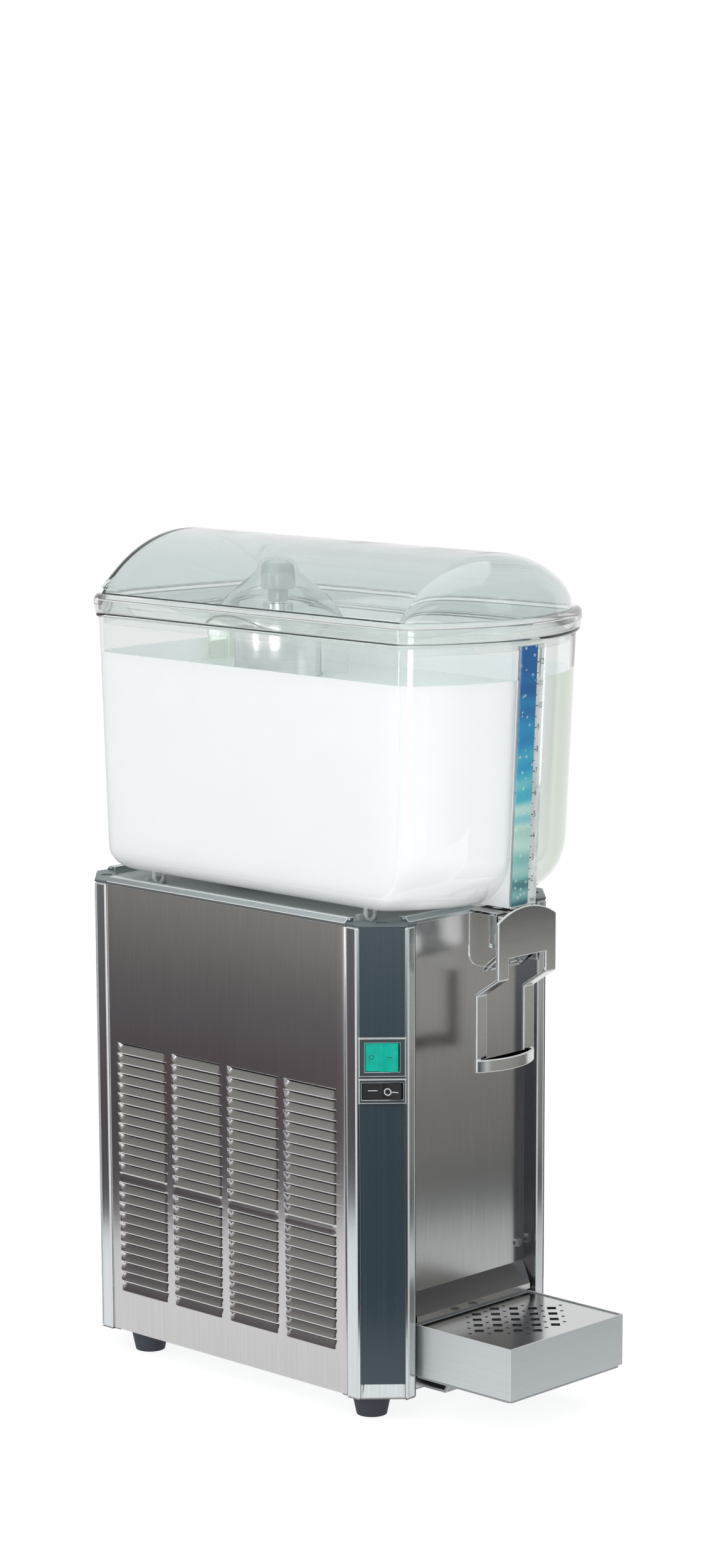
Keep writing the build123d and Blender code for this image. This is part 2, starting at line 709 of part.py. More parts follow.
for side in (-1, 1):
    screw_place = (side * (fold_edge - FRONT_SCREW_HEAD), FRONT_Y + FRONT_RECESS, screw_z)
    screw_planes.append(Plane(origin=screw_place, x_dir=(1, 0, 0), z_dir=(0, -1, 0)))
with BuildPart() as front_panel:
    with BuildSketch(Plane.XY.offset(PANEL_FOOT)):
        with BuildLine():
            Polyline(*right_half, *left_half)
            offset(amount=SHEET, side=Side.RIGHT, kind=Kind.INTERSECTION)
        make_face()
    extrude(amount=PANEL_TOP - PANEL_FOOT)
    with BuildSketch(splash_plane):
        with BuildLine():
            Polyline(
                (-fold_edge, SHEET / 2),
                (fold_edge, SHEET / 2),
                (splash_half, -splash_slope),
                (-splash_half, -splash_slope),
                close=True,
            )
        make_face()
    extrude(amount=-SHEET)
    with BuildSketch(Plane.XY.offset(splash_foot)):
        with Locations((0, FRONT_Y + SPLASH_INSET + SHEET / 2)):
            Rectangle(TRAY_WIDTH, SHEET)
    extrude(amount=-SPLASH_LIP)
    for screw_plane in screw_planes:
        with BuildSketch(screw_plane):
            Circle(FRONT_SCREW_SHANK / 2 + FIT)
        extrude(amount=-2 * SHEET, mode=Mode.SUBTRACT)
front_panel.part.label = "front_panel"
export_step(front_panel.part, "parts/front_panel.step")

with BuildPart() as front_panel_screws:
    for screw_plane in screw_planes:
        with BuildSketch(screw_plane):
            Circle(FRONT_SCREW_HEAD / 2)
        extrude(amount=FRONT_SCREW_HEAD / 4)
        with BuildSketch(screw_plane):
            Circle(FRONT_SCREW_SHANK / 2)
        extrude(amount=-FRONT_SCREW_SHANK)
front_panel_screws.part.label = "front_panel_screws"
export_step(front_panel_screws.part, "parts/front_panel_screws.step")

# Rear panel with rows of air slots, and the gland where the supply cable would enter
rear_face = Plane(origin=(0, REAR_Y - POST_WALL, 0), x_dir=(-1, 0, 0), z_dir=(0, 1, 0))
gland_place = (GLAND_OFFSET, BASE_Z + GLAND_HEIGHT)
with BuildPart() as rear_panel:
    with BuildSketch(rear_face):
        with Locations((0, (PANEL_FOOT + PANEL_TOP) / 2)):
            Rectangle(BODY_WIDTH - 2 * POST_CHAMFER - 4 * POST_WALL, PANEL_TOP - PANEL_FOOT)
        for row in range(REAR_SLOTS):
            for column in (-1, 1):
                slot_x = column * (REAR_SLOT_LENGTH + REAR_SLOT_PITCH) / 2
                with Locations((slot_x, BASE_Z + REAR_SLOT_FLOOR + row * REAR_SLOT_PITCH)):
                    SlotOverall(REAR_SLOT_LENGTH, REAR_SLOT_HEIGHT, mode=Mode.SUBTRACT)
        with Locations(gland_place):
            Circle(GLAND_BORE / 2, mode=Mode.SUBTRACT)
    extrude(amount=-SHEET)
rear_panel.part.label = "rear_panel"
export_step(rear_panel.part, "parts/rear_panel.step")

with BuildPart() as cable_gland:
    with BuildSketch(rear_face):
        with Locations(gland_place):
            Circle(GLAND_HEAD / 2)
    extrude(amount=POST_WALL + CAP_LIP)
    chamfer(cable_gland.faces().sort_by(Axis.Y)[-1].edges(), CAP_LIP)
    with BuildSketch(rear_face):
        with Locations(gland_place):
            Circle(GLAND_BORE / 2 - FIT)
    extrude(amount=-GLAND_BORE)
    with BuildSketch(rear_face.offset(-SHEET)):
        with Locations(gland_place):
            RegularPolygon(GLAND_HEAD / 2, 6)
    extrude(amount=-GLAND_NUT)
    with BuildSketch(rear_face.offset(POST_WALL + CAP_LIP)):
        with Locations(gland_place):
            Circle(GLAND_CORD / 2)
    extrude(amount=-(GLAND_BORE + POST_WALL + CAP_LIP), mode=Mode.SUBTRACT)
cable_gland.part.label = "cable_gland"
export_step(cable_gland.part, "parts/cable_gland.step")


def rail_section(face, web):
    """Profile of a top rail as inward distance and height, from its outer face and lower web."""
    inner = face + RAIL_WIDTH
    return [
        (face, PANEL_TOP + FIT),
        (face, RAIL_Z - RAIL_BEVEL),
        (face + RAIL_BEVEL, RAIL_Z),
        (inner, RAIL_Z),
        (inner, DECK_FOOT),
        (inner + RAIL_LEDGE, DECK_FOOT),
        (inner + RAIL_LEDGE, LEDGE_Z),
        (web, LEDGE_Z),
        (web, PANEL_TOP + FIT),
    ]


# Top rails: a bar with a groove along its top, and a ledge that carries the deck
side_rail_length = BODY_DEPTH - 2 * (SIDE_END + CAP_LIP + FIT)
end_rail_length = BODY_WIDTH - 2 * (FRONT_END + CAP_LIP + FIT)
rail_runs = {
    "rail_left": (along, -SIDE_X, 1, RAIL_FACE_INSET, TAB_BACK + FIT, side_rail_length),
    "rail_right": (along, SIDE_X, -1, RAIL_FACE_INSET, TAB_BACK + FIT, side_rail_length),
    "rail_front": (Plane.YZ, FRONT_Y, 1, FRONT_RAIL_INSET, pan_front, end_rail_length),
    "rail_rear": (Plane.YZ, REAR_Y, -1, RAIL_FACE_INSET, pan_rear, end_rail_length),
}
for rail_name, (rail_plane, outer, inward, rail_face, web, rail_length) in rail_runs.items():
    with BuildPart() as rail:
        with BuildSketch(rail_plane):
            with BuildLine():
                section = rail_section(rail_face, web)
                Polyline(*[(outer + inward * depth, z) for depth, z in section], close=True)
            make_face()
            with Locations((outer + inward * (rail_face + RAIL_WIDTH / 2), RAIL_Z)):
                Rectangle(RAIL_GROOVE, 2 * RAIL_GROOVE, mode=Mode.SUBTRACT)
        extrude(amount=rail_length / 2, both=True)
    rail.part.label = rail_name
    export_step(rail.part, f"parts/{rail_name}.step")

# Deck under the bowl, with catches in front of the bowl's hooks
deck_side = RAIL_FACE_INSET + RAIL_WIDTH + FIT
deck_plan = cabinet_plan(deck_side, FRONT_RAIL_INSET + RAIL_WIDTH + FIT, deck_side)
lug_places = []
for lug_x in (-BOWL_LUG_X, BOWL_LUG_X):
    for lug_back in (BOWL_LUG_FRONT, BOWL_LUG_REAR):
        lug_places.append((lug_x, FRONT_Y + lug_back))
catch_step = BOWL_LUG_THICKNESS / 2 + CATCH_DEPTH / 2 + 2 * RUN
with BuildPart() as deck:
    with BuildSketch(Plane.XY.offset(DECK_FOOT)):
        add(deck_plan)
        with Locations((0, COLD_Y)):
            Circle(COLD_DIAMETER / 2 + FIT, mode=Mode.SUBTRACT)
    extrude(amount=DECK_THICKNESS)
    with BuildSketch(Plane.XY.offset(DECK_TOP)):
        for lug_x, lug_y in lug_places:
            with Locations((lug_x, lug_y + catch_step)):
                Rectangle(CATCH_WIDTH, CATCH_DEPTH)
    extrude(amount=CATCH_HEIGHT)
deck.part.label = "deck"
export_step(deck.part, "parts/deck.step")

with BuildPart() as bowl_gasket:
    with BuildSketch(Plane.XY.offset(DECK_TOP)):
        with Locations((0, COLD_Y)):
            Circle(GASKET_DIAMETER / 2)
            Circle(COLD_DIAMETER / 2 + FIT, mode=Mode.SUBTRACT)
    extrude(amount=GASKET_HEIGHT)
    chamfer(bowl_gasket.edges().filter_by(GeomType.CIRCLE).sort_by(Axis.Z)[-1], GASKET_CHAMFER)
bowl_gasket.part.label = "bowl_gasket"
export_step(bowl_gasket.part, "parts/bowl_gasket.step")

# Cold cylinder: domed steel shell round a tube for the agitator shaft, with a bearing in its neck
cold_top = DECK_TOP + COLD_HEIGHT
neck_top = cold_top + COLD_NECK_HEIGHT
bearing_bore = SHAFT_DIAMETER / 2 + SHAFT_FIT
cold_tube = COLD_BORE / 2 + COLD_WALL
cold_inner = COLD_DIAMETER / 2 - COLD_WALL
cold_plane = Plane(origin=(0, COLD_Y, 0), x_dir=(1, 0, 0), z_dir=(0, -1, 0))
cold_axis = Axis((0, COLD_Y, 0), (0, 0, 1))
with BuildPart() as evaporator:
    with BuildSketch(cold_plane):
        with BuildLine():
            Polyline(
                (COLD_BORE / 2, LEDGE_Z),
                (cold_tube, LEDGE_Z),
                (cold_tube, cold_top - COLD_DOME),
                (cold_inner, cold_top - COLD_DOME),
                (cold_inner, LEDGE_Z),
                (COLD_FLANGE / 2, LEDGE_Z),
                (COLD_FLANGE / 2, LEDGE_Z + COLD_FLANGE_THICKNESS),
                (COLD_DIAMETER / 2, LEDGE_Z + COLD_FLANGE_THICKNESS),
                (COLD_DIAMETER / 2, cold_top - COLD_DOME),
            )
            RadiusArc(
                (COLD_DIAMETER / 2, cold_top - COLD_DOME),
                (COLD_DIAMETER / 2 - COLD_DOME, cold_top),
                -COLD_DOME,
            )
            Polyline(
                (COLD_DIAMETER / 2 - COLD_DOME, cold_top),
                (COLD_NECK / 2, cold_top),
                (COLD_NECK / 2, neck_top),
                (bearing_bore, neck_top),
                (bearing_bore, cold_top),
                (COLD_BORE / 2, cold_top),
                (COLD_BORE / 2, LEDGE_Z),
            )
        make_face()
    revolve(axis=cold_axis)
evaporator.part.label = "evaporator"
export_step(evaporator.part, "parts/evaporator.step")

# Agitator drive: gearbox under the cold cylinder, with its motor below
gearbox_foot = LEDGE_Z - GEARBOX_HEIGHT
with BuildPart() as drive_motor:
    with BuildSketch(Plane.XY.offset(gearbox_foot)):
        with Locations((0, COLD_Y)):
            RectangleRounded(GEARBOX_WIDTH, GEARBOX_LENGTH, GEARBOX_ROUND)
    extrude(amount=GEARBOX_HEIGHT)
    with BuildSketch(Plane.XY.offset(gearbox_foot)):
        with Locations((0, COLD_Y + (GEARBOX_LENGTH - MOTOR_DIAMETER) / 2)):
            Circle(MOTOR_DIAMETER / 2)
    extrude(amount=-MOTOR_LENGTH)
    with BuildSketch(Plane.XY.offset(LEDGE_Z)):
        with Locations((0, COLD_Y)):
            Circle(bearing_bore)
    extrude(amount=-SHAFT_SEAT, mode=Mode.SUBTRACT)
drive_motor.part.label = "drive_motor"
export_step(drive_motor.part, "parts/drive_motor.step")

# Agitator: a bell-shaped hat whose hub sits on the shaft, with two paddles that hang beside the cold cylinder
brim_z = RIM_Z - HAT_BRIM_DROP
waist_z = brim_z + HAT_WAIST_RISE
crown_z = brim_z + HAT_HEIGHT
edge_z = crown_z - HAT_CROWN_DROP
hub_foot = neck_top + 2 * RUN
hub_meet = (HAT_WAIST - HAT_WALL * 2 - HUB_DIAMETER) / (HAT_WAIST - HAT_CROWN)
shaft_top = crown_z - HAT_WALL - 2 * FIT
with BuildPart() as drive_shaft:
    with BuildSketch(Plane.XY.offset(LEDGE_Z - SHAFT_SEAT + RUN)):
        with Locations((0, COLD_Y)):
            Circle(SHAFT_DIAMETER / 2)
    extrude(amount=shaft_top - LEDGE_Z + SHAFT_SEAT - RUN)
drive_shaft.part.label = "drive_shaft"
export_step(drive_shaft.part, "parts/drive_shaft.step")

with BuildPart() as agitator:
    with BuildSketch(cold_plane):
        with BuildLine():
            Polyline(
                (HAT_DIAMETER / 2, brim_z),
                (HAT_WAIST / 2, waist_z),
                (HAT_CROWN / 2, edge_z),
                (HAT_TIP / 2, crown_z),
                (0, crown_z),
                (0, hub_foot),
                (HUB_DIAMETER / 2, hub_foot),
                (HUB_DIAMETER / 2, waist_z + hub_meet * (edge_z - waist_z)),
                (HAT_WAIST / 2 - HAT_WALL, waist_z),
                (HAT_DIAMETER / 2 - HAT_WALL, brim_z),
                close=True,
            )
        make_face()
    revolve(axis=cold_axis)
    with BuildSketch(Plane.XY.offset(neck_top)):
        with Locations((0, COLD_Y)):
            Circle(bearing_bore)
    extrude(amount=crown_z - HAT_WALL - FIT - neck_top, mode=Mode.SUBTRACT)
    paddle_reach = (HAT_DIAMETER - PADDLE_WIDTH) / 2 - HAT_WALL / 4
    with BuildSketch(Plane.XY.offset(brim_z + HAT_WALL / 2)):
        for paddle_x in (-paddle_reach, paddle_reach):
            with Locations(Location((0, COLD_Y, 0), PADDLE_TURN) * Location((paddle_x, 0, 0))):
                Rectangle(PADDLE_WIDTH - HAT_WALL, PADDLE_THICKNESS)
    extrude(amount=-PADDLE_LENGTH)
agitator.part.label = "agitator"
export_step(agitator.part, "parts/agitator.step")

# Compressor on a plate over four rubber mounts
compressor_y = FRONT_Y + COMPRESSOR_FROM_FRONT
compressor_foot = PAN_TOP + GROMMET_HEIGHT
compressor_top = compressor_foot + COMPRESSOR_PLATE + COMPRESSOR_HEIGHT
mount_x = COMPRESSOR_LENGTH / 2
mount_y = COMPRESSOR_WIDTH / 2
port_x = GEARBOX_WIDTH / 2 + PIPE_DIAMETER
with BuildPart() as compressor:
    with BuildSketch(Plane.XY.offset(compressor_foot + COMPRESSOR_PLATE)):
        with Locations((0, compressor_y)):
            RectangleRounded(COMPRESSOR_LENGTH, COMPRESSOR_WIDTH, COMPRESSOR_CORNER)
    extrude(amount=COMPRESSOR_HEIGHT)
    fillet(compressor.faces().sort_by(Axis.Z)[-1].edges(), COMPRESSOR_ROUND)
    with BuildSketch(Plane.XY.offset(compressor_foot)):
        with Locations((0, compressor_y)):
            RectangleRounded(
                COMPRESSOR_LENGTH + 2 * COMPRESSOR_PLATE_MARGIN,
                COMPRESSOR_WIDTH + 2 * COMPRESSOR_PLATE_MARGIN,
                COMPRESSOR_PLATE_MARGIN,
            )
    extrude(amount=COMPRESSOR_PLATE)
    with BuildSketch(Plane.XY.offset(compressor_top - COMPRESSOR_ROUND)):
        with Locations((port_x, compressor_y)):
            Circle(PIPE_PORT / 2)
    extrude(amount=COMPRESSOR_ROUND + PIPE_DIAMETER)
compressor.part.label = "compressor"
export_step(compressor.part, "parts/compressor.step")

with BuildPart() as compressor_mounts:
    with BuildSketch(Plane.XY.offset(PAN_TOP)):
        with Locations((0, compressor_y)):
            with GridLocations(2 * mount_x, 2 * mount_y, 2, 2):
                Circle(GROMMET_DIAMETER / 2)
    extrude(amount=GROMMET_HEIGHT)
compressor_mounts.part.label = "compressor_mounts"
export_step(compressor_mounts.part, "parts/compressor_mounts.step")

# Suction pipe from the cold cylinder's flange down to the compressor's port
pipe_level = gearbox_foot - MOTOR_LENGTH - PIPE_DIAMETER
pipe_end_y = COLD_Y - PIPE_DIAMETER
pipe_start = (port_x, compressor_y, compressor_top + PIPE_DIAMETER)
with BuildPart() as suction_pipe:
    with BuildLine():
        FilletPolyline(
            pipe_start,
            (port_x, compressor_y, pipe_level),
            (port_x, pipe_end_y, pipe_level),
            (port_x, pipe_end_y, LEDGE_Z),
            radius=PIPE_BEND,
        )
    with BuildSketch(Plane.XY.offset(pipe_start[2])):
        with Locations(pipe_start[:2]):
            Circle(PIPE_DIAMETER / 2)
    sweep()
suction_pipe.part.label = "suction_pipe"
export_step(suction_pipe.part, "parts/suction_pipe.step")

# Condenser behind the left louvres: fins across a stack of tubes
condenser_x = -(SIDE_X - PANEL_BACK - CONDENSER_SIDE_GAP - CONDENSER_DEPTH / 2)
condenser_y = FRONT_Y + CONDENSER_FROM_FRONT
condenser_z = PAN_TOP + CONDENSER_HEIGHT / 2
fin_pitch = (CONDENSER_LENGTH - CONDENSER_FIN) / (CONDENSER_FINS - 1)
condenser_front = condenser_y - CONDENSER_LENGTH / 2
tube_pitch = CONDENSER_HEIGHT / CONDENSER_ROWS
with BuildPart() as condenser:
    for fin in range(CONDENSER_FINS):
        with BuildSketch(Plane.XZ.offset(-(condenser_front + CONDENSER_FIN + fin * fin_pitch))):
            with Locations((condenser_x, condenser_z)):
                Rectangle(CONDENSER_DEPTH, CONDENSER_HEIGHT)
        extrude(amount=CONDENSER_FIN)
    with BuildSketch(Plane.XZ.offset(-(condenser_y + CONDENSER_LENGTH / 2))):
        for row in range(CONDENSER_ROWS):
            with Locations((condenser_x, PAN_TOP + tube_pitch * (row + 0.5))):
                RegularPolygon(CONDENSER_TUBE / 2, CONDENSER_TUBE_SIDES)
    extrude(amount=CONDENSER_LENGTH)
condenser.part.label = "condenser"
export_step(condenser.part, "parts/condenser.step")

# Filter drier, on the condenser's outlet
drier_z = PAN_TOP + tube_pitch * 1.5
drier_plane = Plane(origin=(condenser_x, condenser_front, drier_z), x_dir=(0, -1, 0), z_dir=(1, 0, 0))
drier_end = DRIER_NECK + DRIER_LENGTH
with BuildPart() as filter_drier:
    with BuildSketch(drier_plane):
        with BuildLine():
            Polyline(
                (0, 0),
                (0, DRIER_NECK / 2),
                (DRIER_NECK, DRIER_NECK / 2),
                (DRIER_NECK * 2, DRIER_DIAMETER / 2),
                (drier_end - DRIER_NECK, DRIER_DIAMETER / 2),
                (drier_end, DRIER_NECK / 4),
                (drier_end, 0),
                close=True,
            )
        make_face()
    revolve(axis=Axis((condenser_x, condenser_front, drier_z), (0, -1, 0)))
filter_drier.part.label = "filter_drier"
export_step(filter_drier.part, "parts/filter_drier.step")

# Condenser fan with its motor, on a wall behind the condenser with a window each side of the motor
fan_x = condenser_x + CONDENSER_DEPTH / 2 + FAN_CLEARANCE
fan_motor_x = fan_x + FAN_DEPTH + 2 * RUN
bracket_x = fan_motor_x + FAN_MOTOR_LENGTH
fan_plane = Plane(origin=(fan_x, condenser_y, condenser_z), x_dir=(0, 1, 0), z_dir=(1, 0, 0))
with BuildPart() as fan_motor:
    with BuildSketch(fan_plane.offset(FAN_DEPTH + 2 * RUN)):
        Circle(FAN_MOTOR_DIAMETER / 2)
    extrude(amount=FAN_MOTOR_LENGTH)
    chamfer(fan_motor.faces().sort_by(Axis.X)[0].edges(), FAN_MOTOR_DIAMETER / 8)
    with BuildSketch(fan_plane.offset(FAN_DEPTH)):
        Circle(FAN_SHAFT / 2 + SHAFT_FIT)
    extrude(amount=FAN_SHAFT_REACH + FAN_BLADE_BITE, mode=Mode.SUBTRACT)
fan_motor.part.label = "fan_motor"
export_step(fan_motor.part, "parts/fan_motor.step")

blade_root = FAN_HUB / 2 - FAN_BLADE_BITE
with BuildPart() as fan:
    with BuildSketch(fan_plane):
        Circle(FAN_HUB / 2)
    extrude(amount=FAN_DEPTH)
    for blade in range(FAN_BLADES):
        turn = 2 * pi * blade / FAN_BLADES
        blade_origin = fan_plane.from_local_coords(
            (blade_root * cos(turn), blade_root * sin(turn), FAN_DEPTH / 2)
        )
        blade_dir = Vector(0, cos(turn), sin(turn))
        chord_dir = Vector(1, 0, 0).rotate(Axis((0, 0, 0), blade_dir), 90 - FAN_PITCH)
        with BuildSketch(Plane(origin=blade_origin, x_dir=chord_dir, z_dir=blade_dir)):
            Rectangle(FAN_CHORD, FAN_BLADE)
        extrude(amount=FAN_DIAMETER / 2 - blade_root)
    with BuildSketch(fan_plane.offset(FAN_DEPTH)):
        Circle(FAN_SHAFT / 2)
    extrude(amount=FAN_SHAFT_REACH)
fan.part.label = "fan"
export_step(fan.part, "parts/fan.step")

window_y = (FAN_BRACKET_WIDTH + FAN_WINDOW_WIDTH) / 2
with BuildPart() as fan_bracket:
    with BuildSketch(Plane.YZ.offset(bracket_x)):
        with Locations((condenser_y, PAN_TOP + FAN_WALL_HEIGHT / 2)):
            Rectangle(CONDENSER_LENGTH, FAN_WALL_HEIGHT)
        with Locations((condenser_y - window_y, condenser_z), (condenser_y + window_y, condenser_z)):
            Rectangle(FAN_WINDOW_WIDTH, FAN_DIAMETER, mode=Mode.SUBTRACT)
    extrude(amount=FAN_BRACKET_SHEET)
    with BuildSketch(Plane.XY.offset(PAN_TOP)):
        with Locations((bracket_x + FAN_BRACKET_FOOT / 2, condenser_y)):
            Rectangle(FAN_BRACKET_FOOT, CONDENSER_LENGTH)
    extrude(amount=FAN_BRACKET_SHEET)
fan_bracket.part.label = "fan_bracket"
export_step(fan_bracket.part, "parts/fan_bracket.step")

# Control box on the back of the front panel, with the thermostat on top of it
control_front = FRONT_Y + pan_front
control_foot = BASE_Z + CONTROL_LIFT
with BuildPart() as control_box:
    with BuildSketch(Plane.XY.offset(control_foot)):
        with Locations((0, control_front + CONTROL_DEPTH / 2)):
            RectangleRounded(CONTROL_WIDTH, CONTROL_DEPTH, CONTROL_ROUND)
    extrude(amount=CONTROL_HEIGHT)
control_box.part.label = "control_box"
export_step(control_box.part, "parts/control_box.step")

with BuildPart() as thermostat:
    with BuildSketch(Plane.XY.offset(control_foot + CONTROL_HEIGHT)):
        with Locations((0, control_front + CONTROL_DEPTH / 2)):
            RectangleRounded(THERMOSTAT_WIDTH, THERMOSTAT_DEPTH, CONTROL_ROUND)
    extrude(amount=THERMOSTAT_HEIGHT)
thermostat.part.label = "thermostat"
export_step(thermostat.part, "parts/thermostat.step")

# Bowl: lofted walls with a rounded foot, a flat nose for the gauge, hooks and a central neck
edge_steps = (0.0, 0.1, 0.3, 0.6, 1.0)
outer_heights = [step * BOWL_EDGE for step in edge_steps]
outer_heights += [(BOWL_EDGE + BOWL_FRONT_EDGE) / 2, BOWL_FRONT_EDGE, BOWL_HEIGHT]
inner_heights = [BOWL_WALL + step * (BOWL_EDGE - BOWL_WALL) for step in edge_steps]
inner_heights += [(BOWL_EDGE + BOWL_FRONT_EDGE) / 2, BOWL_FRONT_EDGE, BOWL_HEIGHT + BOWL_WALL]
skirt_foot = BOWL_HEIGHT + RUN - LID_SKIRT
bead_top = skirt_foot - RUN
nose_half = NOSE_WIDTH / 2
nose_root = FRONT_Y + BOWL_FRONT_EDGE / 2


def nose_front(height):
    """Flat front of the nose at a height above the bowl's floor."""
    return bowl_front(height) - NOSE_PROUD


def nose_outline(inset):
    """Side view of the nose from its flat front back into the bowl, drawn in by inset."""
    return [
        (nose_front(inset) + inset, FLOOR_Z + inset),
        (nose_front(NOSE_TOP) + inset, FLOOR_Z + NOSE_TOP - inset),
        (bowl_front(NOSE_TOP) + 2 * BOWL_WALL, FLOOR_Z + NOSE_TOP - inset),
        (bowl_front(BOWL_FRONT_EDGE) + 2 * BOWL_WALL, FLOOR_Z + BOWL_FRONT_EDGE),
        (nose_root, FLOOR_Z + BOWL_EDGE / 2),
        (nose_root, FLOOR_Z + inset),
    ]


neck_bore = COLD_DIAMETER / 2 + BOWL_WALL
with BuildPart() as bowl:
    for height in outer_heights:
        with BuildSketch(Plane.XY.offset(FLOOR_Z + height)):
            add(bowl_plan(height, 0))
    loft(ruled=True)
    with BuildSketch(Plane.XY.offset(FLOOR_Z + bead_top - BOWL_BEAD_HEIGHT)):
        add(bowl_plan(bead_top, -BOWL_BEAD))
    extrude(amount=BOWL_BEAD_HEIGHT)
    with BuildSketch(Plane.YZ):
        with BuildLine():
            Polyline(*nose_outline(0), close=True)
        make_face()
    extrude(amount=nose_half, both=True)
    for height in inner_heights:
        with BuildSketch(Plane.XY.offset(FLOOR_Z + height)):
            add(bowl_plan(height, BOWL_WALL))
    loft(ruled=True, mode=Mode.SUBTRACT)
    with BuildSketch(Plane.YZ):
        with BuildLine():
            Polyline(*nose_outline(BOWL_WALL), close=True)
        make_face()
    extrude(amount=nose_half - BOWL_WALL, both=True, mode=Mode.SUBTRACT)
    with BuildSketch(Plane.XY.offset(FLOOR_Z)):
        with Locations((0, COLD_Y)):
            Circle(neck_bore + BOWL_WALL)
    extrude(amount=BOWL_NECK_HEIGHT)
    with BuildSketch(Plane.XY.offset(FLOOR_Z)):
        with Locations((0, COLD_Y)):
            Circle(neck_bore)
        with Locations((0, TAP_Y)):
            Circle(OUTLET_BORE / 2)
    extrude(amount=BOWL_NECK_HEIGHT, mode=Mode.SUBTRACT)
    with BuildSketch(Plane.XY.offset(DECK_TOP + RUN)):
        with Locations(*lug_places):
            Rectangle(BOWL_LUG_WIDTH, BOWL_LUG_THICKNESS)
    extrude(amount=GASKET_HEIGHT + BOWL_WALL)
bowl.part.label = "bowl"
export_step(bowl.part, "parts/bowl.step")

with BuildPart() as gauge_plate:
    with BuildSketch(Plane.YZ):
        with BuildLine():
            Polyline(
                (nose_front(GAUGE_FOOT), FLOOR_Z + GAUGE_FOOT),
                (nose_front(NOSE_TOP), FLOOR_Z + NOSE_TOP),
                (nose_front(NOSE_TOP) - GAUGE_THICKNESS, FLOOR_Z + NOSE_TOP),
                (nose_front(GAUGE_FOOT) - GAUGE_THICKNESS, FLOOR_Z + GAUGE_FOOT),
                close=True,
            )
        make_face()
    extrude(amount=nose_half, both=True)
gauge_plate.part.label = "gauge_plate"
export_step(gauge_plate.part, "parts/gauge_plate.step")

# Lid: a skirt over the bowl's rim, a rim inside it, and a vault whose front end is turned about its chord
lid_z = RIM_Z + RUN
spring_z = lid_z + LID_PLATE
chord_y = FRONT_Y - LID_FRONT_CHORD
lid_rear = REAR_Y - LID_REAR_INSET
rim_inset = BOWL_WALL + LID_RIM_CLEARANCE
chord_axis = Axis((0, chord_y, spring_z), (1, 0, 0))


def vault_section(inset):
    """Cross-section of the vault above its springing, drawn in by inset."""
    half = LID_SPAN / 2 - inset
    with BuildSketch() as section:
        with BuildLine():
            Line((-half, 0), (half, 0))
            ThreePointArc((half, 0), (0, LID_RISE - inset), (-half, 0))
        make_face()
    return section.sketch


front_chord = Plane(origin=(0, chord_y, spring_z), x_dir=(1, 0, 0), z_dir=(0, -1, 0))
with BuildPart() as lid:
    with BuildSketch(Plane.XY.offset(lid_z - LID_SKIRT)):
        add(bowl_plan(BOWL_HEIGHT, -LID_SKIRT_PROUD))
    extrude(amount=LID_SKIRT + LID_PLATE)
    chamfer(lid.faces().sort_by(Axis.Z)[-1].edges(), LID_WALL / 2)
    with BuildSketch(Plane.XY.offset(lid_z - LID_SKIRT)):
        add(bowl_plan(BOWL_HEIGHT, LID_WALL - LID_SKIRT_PROUD))
    extrude(amount=LID_SKIRT, mode=Mode.SUBTRACT)
    with BuildSketch(front_chord):
        add(vault_section(0))
    extrude(amount=chord_y - lid_rear)
    with BuildSketch(front_chord):
        add(vault_section(0))
    revolve(axis=chord_axis, revolution_arc=90)
    with BuildSketch(Plane.XY.offset(lid_z - LID_RIM_DEPTH)):
        add(bowl_plan(BOWL_HEIGHT, rim_inset))
    extrude(amount=LID_RIM_DEPTH)
    with BuildSketch(Plane.XY.offset(lid_z - LID_RIM_DEPTH)):
        with Locations((0, (chord_y + lid_rear - LID_WALL) / 2)):
            Rectangle(LID_SPAN - 2 * LID_WALL, lid_rear - LID_WALL - chord_y)
        with Locations((0, chord_y)):
            add(vault_section(LID_WALL), rotation=180)
        add(bowl_plan(BOWL_HEIGHT, rim_inset + LID_RIM_WALL), mode=Mode.INTERSECT)
    extrude(amount=LID_RIM_DEPTH + LID_PLATE, mode=Mode.SUBTRACT)
    with BuildSketch(front_chord):
        add(vault_section(LID_WALL))
    extrude(amount=chord_y - lid_rear + LID_WALL, mode=Mode.SUBTRACT)
    with BuildSketch(front_chord):
        add(vault_section(LID_WALL))
    revolve(axis=chord_axis, revolution_arc=90, mode=Mode.SUBTRACT)
lid.part.label = "lid"
export_step(lid.part, "parts/lid.step")

